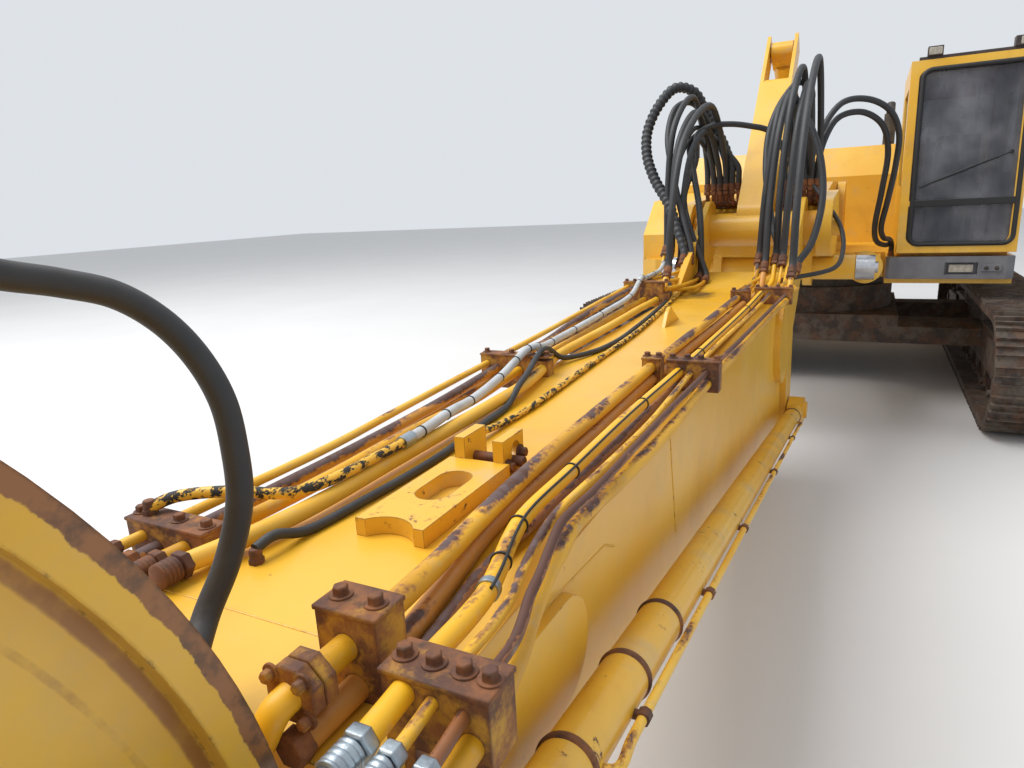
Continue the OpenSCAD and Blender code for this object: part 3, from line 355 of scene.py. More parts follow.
# %% [markdown]
# Bare steel pieces are rusty all over, in patches of dark and bright brown. On the clamps the rust
# has won at the edges and on top, and orange paint is left in the middle of the faces. The tracks
# are the same steel, greyer, with dry mud in their hollows.

# %% Rust, mud and bare steel
MUD = (0.13, 0.105, 0.080)


def rusty_steel(name, paint_left=0.0, mud=0.0, dark=RUST, bright=RUST_BRIGHT):
    """Rust: two browns by noise, paint away from edges and tops, mud where fine noise is high."""
    finish = Finish(name, roughness=0.75)
    patch = finish.noise(9.0, 7.0, 0.65)
    colour = finish.mix(patch.between(0.38, 0.66), dark, bright)
    colour = finish.mix(finish.noise(42.0, 5.0).between(0.5, 0.75) * 0.7, colour, GREASE)
    if paint_left:
        cloud = finish.noise(11.0, 7.0, 0.66) - finish.edges(0.012) * 0.5 - finish.up() * 0.10
        left = cloud.between(0.50 - 0.2 * paint_left, 0.62 - 0.2 * paint_left)
        old = finish.mix(finish.noise(30.0, 6.0, 0.65).between(0.35, 0.65), (0.50, 0.26, 0.022), bright)
        colour = finish.mix(left * 0.92, colour, old)
    if mud:
        dry = finish.noise(7.0, 8.0, 0.7).between(0.45, 0.6) * mud
        colour = finish.mix(dry, colour, MUD)
    finish.colour(colour)
    finish.rough(0.55 + 0.35 * patch)
    height = finish.noise(30.0, 8.0, 0.7) * 0.6 + finish.noise(140.0, 3.0) * 0.3
    finish.bump(height, 0.002, rounded=0.004)
    return finish.material


STEEL_RUSTY = rusty_steel("steel_rusty", paint_left=0.40)
STEEL_BROWN = rusty_steel("steel_brown")
STEEL_TRACK = rusty_steel("steel_track", mud=0.80, dark=(0.050, 0.036, 0.030), bright=(0.13, 0.068, 0.040))


def plain_metal(name, colour, other, roughness, metallic=1.0, scale=18.0, edge=0.003):
    """Two tones of one metal by noise, with finely changing gloss."""
    finish = Finish(name, roughness=roughness, metallic=metallic)
    patch = finish.noise(scale, 6.0, 0.6)
    finish.colour(finish.mix(patch.between(0.35, 0.7), colour, other))
    finish.rough(roughness - 0.08 + 0.2 * finish.noise(scale * 3.0, 4.0))
    finish.bump(finish.noise(scale * 8.0, 4.0), 0.0006, rounded=edge)
    return finish.material


CHROME = plain_metal("rod_chrome", (0.62, 0.62, 0.64), (0.52, 0.52, 0.54), 0.16)
ZINC = plain_metal("fitting_zinc", (0.46, 0.52, 0.56), (0.30, 0.34, 0.38), 0.38)
DARK_STEEL = plain_metal("steel_dark", (0.050, 0.045, 0.042), (0.10, 0.075, 0.055), 0.6, 0.4)
GREY_PAINT = plain_metal("paint_grey", (0.13, 0.13, 0.145), (0.17, 0.17, 0.18), 0.45, 0.0, 7.0, 0.006)
LAMP_BLACK = plain_metal("lamp_black", (0.035, 0.026, 0.024), (0.060, 0.040, 0.034), 0.5, 0.0, 12.0, 0.006)
print(len(bpy.data.materials), "materials so far, with the metals")

# %% [markdown]
# Rubber on hoses is dark grey rather than black, a little dusty on top, and dull. The seat is cloth.

# %% Rubber and cloth
def rubber(name, dark=(0.022, 0.023, 0.026), dusty=(0.085, 0.08, 0.075), dust=0.5):
    """Rubber: dust by noise and by the upward share, with fine ribs of the wrapped cover."""
    finish = Finish(name, roughness=0.6)
    cover = finish.noise(7.0, 6.0, 0.65)
    top = finish.up().between(-0.2, 1.0)
    share = cover.between(0.35, 0.8) * (0.35 + 0.65 * top) * dust
    finish.colour(finish.mix(share, dark, dusty))
    finish.rough(0.42 + 0.3 * cover)
    finish.bump(finish.noise(90.0, 4.0) + finish.noise(14.0, 2.0), 0.0007)
    return finish.material


RUBBER = rubber("hose_rubber")
RUBBER_CLEAN = rubber("seal_rubber", (0.012, 0.012, 0.013), (0.04, 0.04, 0.04), 0.4)


def cloth(name, colour, worn):
    """Woven cloth: two crossed waves as threads, with a worn tone by noise."""
    finish = Finish(name, roughness=0.9)
    finish.colour(finish.mix(finish.noise(6.0, 6.0).between(0.35, 0.75), colour, worn))
    threads = finish.node("TexWave", {"bands_direction": "Z"}, {"Vector": finish.place, "Scale": 140.0})
    crossed = finish.node("TexWave", {"bands_direction": "Y"}, {"Vector": finish.place, "Scale": 140.0})
    finish.bump(threads + crossed, 0.0008)
    finish.shader.inputs["Sheen Weight"].default_value = 0.3
    return finish.material


SEAT_CLOTH = cloth("seat_cloth", (0.05, 0.05, 0.055), (0.09, 0.085, 0.08))
print(len(bpy.data.materials), "materials so far, with rubber and cloth")

# %% [markdown]
# The panes are grey with road dust. A clear pane would show the seat sharply. These show it as
# a dim shape, so part of the glass is a dull film, mixed in by a cloudy mask.

# %% Glass
def dusty_glass(name, tint, film, film_colour):
    """A thin see-through shader and a dull film, mixed by film plus noise."""
    finish = Finish(name, roughness=0.06)
    shader = finish.shader
    shader.inputs["Transmission Weight"].default_value = 0.0
    finish.colour(finish.mix(finish.noise(3.0, 6.0).between(0.3, 0.8), tint, film_colour))
    cloud = finish.noise(2.5, 7.0, 0.6, finish.stretched(1.0, 6.0, 0.7)).between(0.3, 0.8)
    finish.feed(shader.inputs["Alpha"], film + 0.22 * cloud)
    finish.rough(0.05 + 0.25 * cloud)
    finish.bump(finish.noise(2.0, 2.0), 0.0005)
    return finish.material


GLASS = dusty_glass("pane_dusty", (0.05, 0.055, 0.07), 0.55, (0.20, 0.20, 0.22))
print(GLASS.name, "is the last finish of the frame's pieces")

# %% [markdown]
# Each steel piece of the frame now gets its finish. A short table says which, by node name. What is
# on no list keeps the general yellow paint.

# %% Finishes of the frame's own pieces
FINISHES = {
    "paint_boom": (PAINT_BOOM, ["main_boom", "base_boom"]),
    "paint_stick": (PAINT_STICK, ["stick"]),
    "paint_worn": (PAINT_WORN, ["lock_plate", "hammer_yoke", "exciter", "clamp_body"]),
    "paint_barrel": (PAINT_BARREL, ["stick_barrels", "hoist_barrels", "adjust_barrels", "base_pipes"]),
    "paint_cab": (PAINT_CAB, ["cab_shell", "cab_door"]),
    "rusty": (STEEL_RUSTY, ["pipe_clamps", "coupling_row"]),
    # The carbody under the cab takes this dark steel as painted shade.
    "track": (STEEL_TRACK, ["track_left", "track_right", "track_frame_left", "track_frame_right",
                            "idlers", "sprockets", "track_rollers", "carbody"]),
    "dark": (DARK_STEEL, ["slew_ring", "engine", "exhaust", "handrails"]),
    "grey": (GREY_PAINT, ["bumper"]),
    "lamp": (LAMP_BLACK, ["roof_lamps"]),
    "chrome": (CHROME, ["hoist_rods", "adjust_rods", "stick_rods", "clamp_jaw"]),
    "rubber": (RUBBER, ["hoses_left", "hoses_right", "hoses_front", "rubber_mounts"]),
    "cloth": (SEAT_CLOTH, ["cab_seat"]),
    "glass": (GLASS, ["cab_glass", "door_glass"]),
}

finish_of = {name: material for material, names in FINISHES.values() for name in names}
for name, node in NODES.items():
    node.data.materials.clear()
    node.data.materials.append(finish_of.get(name, PAINT))
print(len(NODES), "pieces of the frame have a finish")

# %% [markdown]
# The new pieces are surfaces worked out with numpy. A Shape holds points, four sided faces and end
# caps, and shapes are added to each other until a piece is complete. Rings of points that follow one
# another are joined by one table of corner numbers.

# %% Shapes
class Shape:
    """Points, four sided faces and end caps of a surface. Shapes add up to one piece."""

    def __init__(self, points, quads, caps=()):
        self.points = np.asarray(points, float).reshape(-1, 3)
        self.quads = np.asarray(quads, int).reshape(-1, 4)
        self.caps = [np.asarray(cap, int) for cap in caps]

    def __add__(self, other):
        shift = len(self.points)
        points = np.vstack([self.points, other.points])
        quads = np.vstack([self.quads, other.quads + shift])
        return Shape(points, quads, self.caps + [cap + shift for cap in other.caps])


def joined(shapes):
    """Several shapes added up to one."""
    first, *others = shapes
    for other in others:
        first = first + other
    return first


def ring_shape(rings):
    """Rings of points, as an array (ring, side, 3), joined by faces and closed by two caps."""
    count, sides = rings.shape[:2]
    ring, side = np.meshgrid(np.arange(count - 1), np.arange(sides), indexing="ij")
    here = ring * sides + side
    beside = ring * sides + (side + 1) % sides
    quads = np.stack([here, beside, beside + sides, here + sides], axis=-1)
    last = (count - 1) * sides + np.arange(sides)
    return Shape(rings, quads, [np.arange(sides)[::-1], last])


def piece(name, shape, material, body=None, bevel=0.0, soft_angle=35.0):
    """A mesh object from a shape, smooth up to an angle, riding on a body."""
    mesh = bpy.data.meshes.new(name)
    faces = shape.quads.tolist() + [cap.tolist() for cap in shape.caps]
    mesh.from_pydata(shape.points.tolist(), [], faces)
    mesh.polygons.foreach_set("use_smooth", [True] * len(mesh.polygons))
    mesh.set_sharp_from_angle(angle=math.radians(soft_angle))
    mesh.materials.append(material)
    made = bpy.data.objects.new(name, mesh)
    bpy.context.scene.collection.objects.link(made)
    if bevel:
        rounding = made.modifiers.new("rounding", "BEVEL")
        rounding.width = bevel
        rounding.segments = 2
        rounding.limit_method = "ANGLE"
        rounding.angle_limit = math.radians(40.0)
    if body:
        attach(made, body)
    return made


print("a box shape has", len(ring_shape(np.zeros((2, 4, 3))).quads), "side faces and 2 caps")

# %% [markdown]
# Pipes and hoses are one idea: a circle carried along a line. The line is a chain of cubics through
# a few chosen points. The circle must not twist on its way, so each frame is the last one, turned
# only as far as the line itself has turned.

# %% Lines and tubes
def curve_through(points, steps=8):
    """A smooth line through points: cubics whose slopes come from the neighbours' spacing."""
    knots = np.asarray(points, float)
    gaps = np.linalg.norm(np.diff(knots, axis=0), axis=1) ** 0.5
    time = np.concatenate([[0.0], np.cumsum(gaps)])
    slope = np.gradient(knots, time, axis=0)
    start = np.repeat(np.arange(len(knots) - 1), steps)
    s = np.tile(np.arange(steps) / steps, len(knots) - 1)[:, None]
    span = gaps[start][:, None]
    line = (2 * s**3 - 3 * s**2 + 1) * knots[start] + (3 * s**2 - 2 * s**3) * knots[start + 1]
    line = line + span * ((s**3 - 2 * s**2 + s) * slope[start] + (s**3 - s**2) * slope[start + 1])
    return np.vstack([line, knots[-1:]])


def frames_along(path):
    """Side and up vectors at each point of a path, carried along it without a twist."""
    ahead = np.gradient(path, axis=0)
    ahead /= np.linalg.norm(ahead, axis=1, keepdims=True)
    side = np.cross(ahead[0], [0.0, 0.0, 1.0] if abs(ahead[0, 2]) < 0.9 else [1.0, 0.0, 0.0])
    sides = []
    for direction in ahead:
        side = side - (side @ direction) * direction
        side = side / np.linalg.norm(side)
        sides.append(side)
    return np.array(sides), np.cross(ahead, np.array(sides))


def circle_spokes(side, up, count, turn=0.0):
    """Unit spokes cos(a) * side + sin(a) * up for equal steps of the angle a."""
    angle = np.linspace(0.0, 2.0 * np.pi, count, endpoint=False)[:, None] + turn
    return np.cos(angle) * side[..., None, :] + np.sin(angle) * up[..., None, :]


def tube(path, radius, sides=20):
    """A round tube: centre + radius * spokes, where the radius may change along the path."""
    path = np.asarray(path, float)
    side, up = frames_along(path)
    radius = np.broadcast_to(radius, len(path))
    return ring_shape(path[:, None, :] + radius[:, None, None] * circle_spokes(side, up, sides))


def turned(start, direction, profile, sides=28, turn=0.0):
    """A turned piece: rows of (distance along the axis, radius). Six sides make a nut."""
    ahead = np.asarray(direction, float) / np.linalg.norm(direction)
    side = np.cross(ahead, [0.0, 0.0, 1.0] if abs(ahead[2]) < 0.9 else [1.0, 0.0, 0.0])
    side /= np.linalg.norm(side)
    spokes = circle_spokes(side, np.cross(ahead, side), sides, turn)
    distance, radius = np.array(profile, float).T
    centres = np.asarray(start, float) + distance[:, None] * ahead
    return ring_shape(centres[:, None, :] + radius[:, None, None] * spokes)


def slab(low, high):
    """A block between two corners, as two rings of four points."""
    (x0, y0, z0), (x1, y1, z1) = low, high
    ring = [(x0, y0), (x1, y0), (x1, y1), (x0, y1)]
    return ring_shape(np.array([[(x, y, z) for x, y in ring] for z in (z0, z1)], float))


print("a bend through 3 points has", len(curve_through([(0, 0, 0), (1, 0, 0), (1, 1, 0)])), "points")

# %% [markdown]
# Small parts come next: a hexagon bolt with its washer, the crimped end of a hose with its nut, and
# a row of weld beads. They are used many times along the boom.

# %% Bolts, crimps and weld seams
def bolt(foot, direction, radius=0.011, height=0.011):
    """Washer, hexagon head with a turned top, seen from the side that shows."""
    washer = turned(foot, direction, [(-0.002, radius * 1.5), (0.0025, radius * 1.5)])
    foot = np.asarray(foot, float) + 0.0025 * np.asarray(direction, float)
    head = turned(foot, direction, [(0.0, radius), (height, radius), (height + 0.002, radius * 0.85)], 6)
    return washer + head


def crimp(start, direction, radius, length=0.062):
    """A nut, a neck and a crimped sleeve whose four grooves grip the hose."""
    wide = radius * 1.42
    nut = [(0.0, radius * 1.25), (0.004, wide), (length * 0.30, wide), (length * 0.34, radius * 1.2)]
    steps = 17
    places = np.linspace(length * 0.42, length, steps)
    grooves = radius * (1.26 - 0.10 * (np.arange(steps) % 4 == 2))
    sleeve = [(length * 0.36, radius * 0.95), (length * 0.40, radius * 1.22), *zip(places, grooves)]
    sleeve += [(length + 0.003, radius * 1.02)]
    return turned(start, direction, nut, 6) + turned(start, direction, sleeve)


def weld(path, radius, step=0.006, seed=1):
    """A bead whose radius swells once per step, a little unevenly, like a hand made weld."""
    path = np.asarray(path, float)
    length = np.concatenate([[0.0], np.cumsum(np.linalg.norm(np.diff(path, axis=0), axis=1))])
    at = np.arange(0.0, length[-1], step / 3.0)
    line = np.stack([np.interp(at, length, path[:, k]) for k in range(3)], axis=1)
    uneven = np.random.default_rng(seed).normal(1.0, 0.06, len(at))
    swell = radius * (0.85 + 0.15 * np.cos(2.0 * np.pi * at / step)) * uneven
    return tube(line, swell, 8)


print("a bolt has", len(bolt([0.0, 0.0, 0.0], [0.0, 0.0, 1.0]).points), "points")

# %% [markdown]
# The pipes of the main boom are listed as a fitter would: radius, whether the rear end climbs to a
# hose, and points in millimetres as forward place, offset from the boom's middle and height. They
# follow the same routes as the frame's own pipes, which they stand for, but as smooth bent tubes.

# %% Routes of the pipes
ROUTES_RIGHT = {
    "pipe_wide": (20, True, [(8800, 214, 1552), (8640, 212, 1551), (8500, 200, 1545), (8300, 175, 1536),
                             (8000, 155, 1533), (7500, 149, 1533), (6900, 142, 1533), (5600, 148, 1533),
                             (4340, 128, 1532)]),
    "pipe_orange": (20, True, [(8845, 226, 1491), (8640, 222, 1491), (8510, 205, 1491), (8400, 188, 1491),
                               (8250, 165, 1491), (7900, 156, 1491), (7600, 160, 1491), (7200, 150, 1491),
                               (6900, 148, 1491), (6000, 163, 1491), (5200, 175, 1491), (4800, 190, 1491),
                               (4520, 190, 1491)]),
    "pipe_bright": (17, True, [(8870, 345, 1552), (8850, 345, 1552), (8700, 332, 1549), (8600, 326, 1543),
                               (8530, 317, 1538), (8460, 300, 1535), (8350, 269, 1535), (8250, 250, 1535),
                               (8000, 248, 1535), (7600, 245, 1535), (7100, 255, 1535), (6500, 262, 1535),
                               (5600, 266, 1535), (4900, 255, 1535), (4440, 250, 1535)]),
    "pipe_thin": (9, True, [(8870, 388, 1550), (8850, 388, 1550), (8700, 373, 1546), (8600, 366, 1538),
                            (8510, 353, 1532), (8440, 336, 1532), (8290, 308, 1532), (8200, 300, 1532),
                            (8000, 306, 1532), (7600, 315, 1532), (7200, 302, 1532), (6800, 292, 1532),
                            (6400, 294, 1532), (5600, 308, 1532), (4900, 304, 1532), (4490, 300, 1532)]),
    "pipe_outer": (17, True, [(8850, 436, 1506), (8720, 430, 1503), (8640, 414, 1500), (8590, 404, 1500),
                              (8530, 388, 1500), (8450, 369, 1500), (8370, 352, 1500), (8290, 342, 1500),
                              (8190, 328, 1500), (8090, 330, 1500), (7960, 340, 1500), (7600, 355, 1500),
                              (7000, 352, 1500), (6500, 365, 1500), (5400, 389, 1500), (4900, 400, 1500)]),
    "pipe_dark": (9, False, [(8870, 432, 1545), (8850, 432, 1545), (8720, 419, 1542), (8620, 413, 1540),
                             (8570, 402, 1540), (8510, 385, 1540), (8440, 371, 1540), (8350, 350, 1540),
                             (8250, 331, 1540), (8100, 338, 1540), (7800, 340, 1540), (7400, 343, 1540),
                             (7000, 352, 1540), (6500, 368, 1540), (5600, 389, 1540), (5060, 400, 1540)]),
    "pipe_brown": (12, False, [(8660, 264, 1488), (8500, 245, 1488), (8400, 232, 1488), (8100, 238, 1488),
                               (7500, 243, 1488), (6500, 250, 1488), (5100, 250, 1488)]),
}
ROUTES_LEFT = {
    "pipe_edge": (12, True, [(8600, -500, 1495), (8300, -468, 1508), (8000, -462, 1510), (7600, -500, 1505),
                             (7000, -525, 1513), (6500, -535, 1525), (5600, -550, 1555), (4700, -560, 1585),
                             (4240, -562, 1590)]),
    "pipe_bare": (17, True, [(8600, -455, 1475), (8300, -437, 1482), (8000, -427, 1487), (7500, -447, 1487),
                             (6900, -487, 1495), (6500, -495, 1498), (6100, -508, 1525), (5300, -515, 1560),
                             (4700, -512, 1575), (4290, -510, 1575)]),
    "pipe_inner": (17, True, [(8600, -370, 1492), (8200, -348, 1490), (7800, -357, 1490),
                              (7400, -350, 1490), (7000, -385, 1490), (6600, -400, 1490),
                              (6200, -405, 1490), (5700, -430, 1492), (5200, -447, 1495),
                              (4240, -455, 1497)]),
    "pipe_return": (20, True, [(8600, -300, 1500), (8460, -268, 1500), (8300, -248, 1500),
                               (8000, -246, 1500), (7500, -244, 1500), (7200, -252, 1500),
                               (6950, -290, 1500), (6720, -328, 1500), (6400, -333, 1500),
                               (6000, -336, 1500), (5500, -353, 1500), (4900, -376, 1500)]),
    "pipe_low": (17, False, [(8550, -510, 1440), (8100, -472, 1440), (7600, -485, 1440), (7000, -490, 1445),
                             (6000, -495, 1460), (4950, -497, 1475)]),
}


def climbed(route):
    """The route's points, with two more where its rear end climbs by 110 mm to a hose."""
    radius, climbs, points = route
    line = np.array(points, float)
    if climbs:
        line = np.vstack([line, line[-1] + [-65, 0, 25], line[-1] + [-150, 0, 110]])
    return place_mm(line)


print(len(ROUTES_RIGHT) + len(ROUTES_LEFT), "pipes along the main boom")

# %% [markdown]
# Each pipe has had its own life. One is bright new yellow, one has faded to orange, some have lost
# their paint along the top where boots and rain reach them, and two are bare brown steel. One recipe
# covers them all: two tones of paint, and bare metal where noise plus the upward share is high.

# %% Paint on pipes
BARE = (0.105, 0.066, 0.062)


def pipe_paint(name, tone, shade, worn, bare=BARE):
    """Paint of a pipe: two tones by noise, bare metal where noise plus upward share passes a limit."""
    finish = Finish(name, roughness=0.42)
    drawn = finish.stretched(0.35, 1.0, 1.0)
    colour = finish.mix(finish.noise(9.0, 5.0, where=drawn).between(0.35, 0.7), tone, shade)
    colour = finish.mix(finish.noise(26.0, 7.0).between(0.55, 0.75) * 0.35, colour, DUST)
    wear = finish.noise(7.0, 6.0, 0.62, drawn) * 0.8 + finish.up() * 0.13 + finish.noise(70.0, 4.0) * 0.16
    limit = 0.86 - 0.36 * worn
    colour = finish.mix(wear.between(limit - 0.05, limit) * 0.8, colour, RUST_BRIGHT)
    gone = wear.between(limit, limit + 0.02)
    metal = finish.mix(finish.noise(34.0, 5.0).between(0.4, 0.65), bare, RUST)
    finish.colour(finish.mix(gone, colour, metal))
    finish.rough(0.36 + 0.2 * finish.noise(20.0, 3.0) + 0.2 * gone)
    finish.bump(finish.noise(90.0, 4.0) * 0.3 - gone * 0.6, 0.0010)
    return finish.material


ORANGE = (0.56, 0.245, 0.035)
PIPE_FINISHES = {
    "pipe_wide": pipe_paint("paint_pipe_wide", YELLOW, SHADED, 0.74),
    "pipe_orange": pipe_paint("paint_pipe_orange", ORANGE, (0.46, 0.22, 0.06), 0.50),
    "pipe_bright": pipe_paint("paint_pipe_bright", (0.80, 0.43, 0.012), YELLOW, 0.34),
    "pipe_thin": pipe_paint("paint_pipe_thin", YELLOW, FADED, 0.62),
    "pipe_outer": pipe_paint("paint_pipe_outer", YELLOW, SHADED, 0.58),
    "pipe_dark": pipe_paint("paint_pipe_dark", RUST_BRIGHT, RUST, 0.95, RUST),
    "pipe_brown": pipe_paint("paint_pipe_brown", (0.30, 0.15, 0.06), RUST_BRIGHT, 0.80),
    "pipe_edge": pipe_paint("paint_pipe_edge", YELLOW, FADED, 0.48),
    "pipe_bare": pipe_paint("paint_pipe_bare", ORANGE, SHADED, 0.93),
    "pipe_inner": pipe_paint("paint_pipe_inner", YELLOW, SHADED, 0.55),
    "pipe_return": pipe_paint("paint_pipe_return", YELLOW, FADED, 0.40),
    "pipe_low": pipe_paint("paint_pipe_low", SHADED, RUST_BRIGHT, 0.70),
}

for node, routes in (("pipes_right", ROUTES_RIGHT), ("pipes_left", ROUTES_LEFT)):
    for name, route in routes.items():
        bent = tube(curve_through(climbed(route), 6), route[0] / 1000.0, 24)
        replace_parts(piece(name, bent, PIPE_FINISHES[name], "main"), node)
print(len(PIPE_FINISHES), "pipes painted")

# %% [markdown]
# At the front the widest pipe ends in a split flange with four bolts, and an elbow leads down to the
# big hose in the foreground. The three upper outside pipes end in crimped hose fittings of zinc.

# %% Front ends of the pipes
FORWARD = np.array([1.0, 0.0, 0.0])


def front_end(routes, name):
    """The front end of a pipe as a point of the frame."""
    return climbed(routes[name])[0]


flange_at = front_end(ROUTES_RIGHT, "pipe_wide")
FLANGE_R, CORNER_TURN = 0.043, 0.39
rear_half = [(0, 0.026), (0.002, FLANGE_R), (0.021, FLANGE_R), (0.023, 0.041)]
front_half = [(0, FLANGE_R), (0.018, FLANGE_R), (0.020, 0.040)]
flange = turned(flange_at - 0.004 * FORWARD, FORWARD, rear_half, 8, CORNER_TURN)
flange += turned(flange_at + 0.022 * FORWARD, FORWARD, front_half, 8, CORNER_TURN)
for across, up in [(-0.026, -0.026), (-0.026, 0.026), (0.026, -0.026), (0.026, 0.026)]:
    flange += bolt(flange_at + [0.041, across, up], FORWARD, 0.009, 0.010)
piece("split_flange", flange, STEEL_RUSTY, "main", bevel=0.001)

ELBOW = place_mm([(8838, 214, 1552), (8862, 210, 1545), (8880, 196, 1508), (8886, 170, 1466),
                  (8886, 140, 1452), (8886, 122, 1452)])
elbow_paint = PIPE_FINISHES["pipe_bright"]
piece("flange_elbow", tube(curve_through(ELBOW, 6), 0.020, 24), elbow_paint, "main")
bulb_profile = [(0, 0.020), (0.004, 0.026), (0.016, 0.027), (0.028, 0.026), (0.036, 0.019)]
bulb = turned(ELBOW[-1] + [0, 0.024, 0], [0, -1, 0], bulb_profile)
piece("elbow_bulb", bulb, elbow_paint, "main")

for name, radius in (("pipe_bright", 0.016), ("pipe_thin", 0.012), ("pipe_dark", 0.012)):
    start = front_end(ROUTES_RIGHT, name) - 0.012 * FORWARD
    piece("fitting_" + name, crimp(start, FORWARD, radius), ZINC, "main")
CAP = [(0, 0.021), (0.003, 0.025), (0.024, 0.025), (0.028, 0.021)]
for name in ("pipe_orange", "pipe_outer"):
    start = front_end(ROUTES_RIGHT, name) - 0.006 * FORWARD
    piece("cap_" + name, turned(start, FORWARD, CAP, 6), STEEL_BROWN, "main")
for name, route in ROUTES_LEFT.items():
    start = front_end(ROUTES_LEFT, name) - 0.012 * FORWARD
    piece("fitting_" + name, crimp(start, FORWARD, route[0] / 1000.0), STEEL_BROWN, "main")
print(3 + len(ROUTES_LEFT), "fittings, 2 caps and a flange close the front ends")

# %% [markdown]
# Hoses carry the oil over the joints. Each one leaves a pipe's rear end, rises in a bow over the
# elbow of the boom and comes down into an angled fitting on the row of couplings.

# %% Hoses over the elbow
HOSE_R = 0.0235
ROW_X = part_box("coupling_row")[1].x
ROW_Z = 2.038
BOWS = {
    "hose_left_1": ("pipe_edge", -425, [(4020, -560, 2100), (3900, -545, 2620), (3500, -490, 2860),
                                        (3240, -440, 2450)]),
    "hose_left_2": ("pipe_bare", -375, [(4080, -508, 2080), (3960, -490, 2520), (3600, -440, 2740),
                                        (3300, -390, 2420)]),
    "hose_left_3": ("pipe_inner", -325, [(4000, -450, 2050), (3840, -420, 2450), (3520, -370, 2600),
                                         (3270, -335, 2360)]),
    "hose_left_4": ("pipe_return", -275, [(4640, -374, 2000), (4380, -360, 2480), (3700, -310, 2760),
                                          (3290, -280, 2400)]),
    "hose_right_1": ("pipe_wide", 225, [(4110, 150, 2120), (3930, 190, 2640), (3560, 212, 2770),
                                        (3290, 222, 2420)]),
    "hose_right_2": ("pipe_orange", 275, [(4235, 195, 2050), (4080, 225, 2560), (3650, 255, 2800),
                                          (3330, 270, 2420)]),
    "hose_right_3": ("pipe_bright", 325, [(4255, 262, 2120), (4080, 290, 2700), (3620, 312, 2960),
                                          (3270, 325, 2500)]),
    "hose_right_4": ("pipe_thin", 375, [(4290, 318, 2080), (4130, 345, 2600), (3640, 365, 2850),
                                        (3340, 375, 2420)]),
    "hose_right_5": ("pipe_outer", 425, [(4640, 402, 2050), (4350, 408, 2600), (3700, 418, 3000),
                                         (3260, 425, 2520)]),
}
SLANT = np.array([-1.0, 0.0, 1.0]) / 2**0.5
GRIP_SHARE, GRIP_LENGTH = 0.95, 0.085
GRIP_R = HOSE_R * GRIP_SHARE
RIB_PITCH, RIB_FADE = 0.045, 0.45
ROW_ELBOW = [(0, 0, 0), (0.03, 0, 0), (0.075, 0, 0.010), (0.112, 0, 0.045), (0.124, 0, 0.09),
             (0.126, 0, 0.11)]


def path_length(path):
    """The steps of a path added up."""
    return float(np.linalg.norm(np.diff(path, axis=0), axis=1).sum())


def hose(name, path, radius, material, ribs=0.0):
    """A hose along a smooth path, ribbed if it is a corrugated one."""
    walked = np.concatenate([[0.0], np.cumsum(np.linalg.norm(np.diff(path, axis=0), axis=1))])
    swell = radius * (1.0 - ribs * (0.5 - 0.5 * np.cos(2.0 * np.pi * walked / RIB_PITCH)))
    if ribs:
        inside = np.minimum(walked, walked[-1] - walked).clip(0.0, RIB_FADE) / RIB_FADE
        swell = HOSE_R + (swell - HOSE_R) * inside
    made = piece(name, tube(path, swell, 20), material)
    2.0 * radius
    return made


def crossing_hose(name, path, radius, ribs=0.0):
    """A rubber hose along a path, with its place baked into its mesh."""
    made = hose(name, path, radius, RUBBER, ribs=ribs)
    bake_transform(made)
    return made


def row_elbow(name, offset, grip_r=GRIP_R):
    """The angled fitting of a hose on the row of couplings. Returns the hose's last two points."""
    bend = np.array([ROW_X, BOOM_Y + offset / 1000.0, ROW_Z]) + ROW_ELBOW
    elbow = tube(curve_through(bend, 5), 0.017, 16)
    elbow += turned(bend[0], FORWARD, [(0, 0.022), (0.003, 0.025), (0.028, 0.025), (0.031, 0.021)], 6)
    elbow += crimp(bend[-1] - [0, 0, 0.03], [0.03, 0, 1.0], grip_r, GRIP_LENGTH)
    piece("elbow_" + name, elbow, STEEL_BROWN, "base")
    return [bend[-1] + [0.004, 0, 0.09], bend[-1] + [0.003, 0, 0.03]]


for name, (pipe, offset, middle) in BOWS.items():
    routes = ROUTES_LEFT if offset < 0 else ROUTES_RIGHT
    top = climbed(routes[pipe])[-1]
    piece("crimp_" + name, crimp(top - 0.014 * SLANT, SLANT, GRIP_R, GRIP_LENGTH), STEEL_BROWN, "main")
    tail = row_elbow(name, offset)
    start = [top + 0.04 * SLANT, top + 0.09 * SLANT]
    path = curve_through(np.vstack([start, place_mm(middle), tail]), 10)
    made = crossing_hose(name, path, HOSE_R)
    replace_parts(made, "hoses_left" if offset < 0 else "hoses_right")
print(len(BOWS), "hoses from the pipes to the row of couplings")

# %% [markdown]
# Four more hoses cross to the stick. Three leave the zinc fittings. The fourth is the big one in the
# foreground, which climbs from the elbow at the flange in a bow past the camera and over the heel.

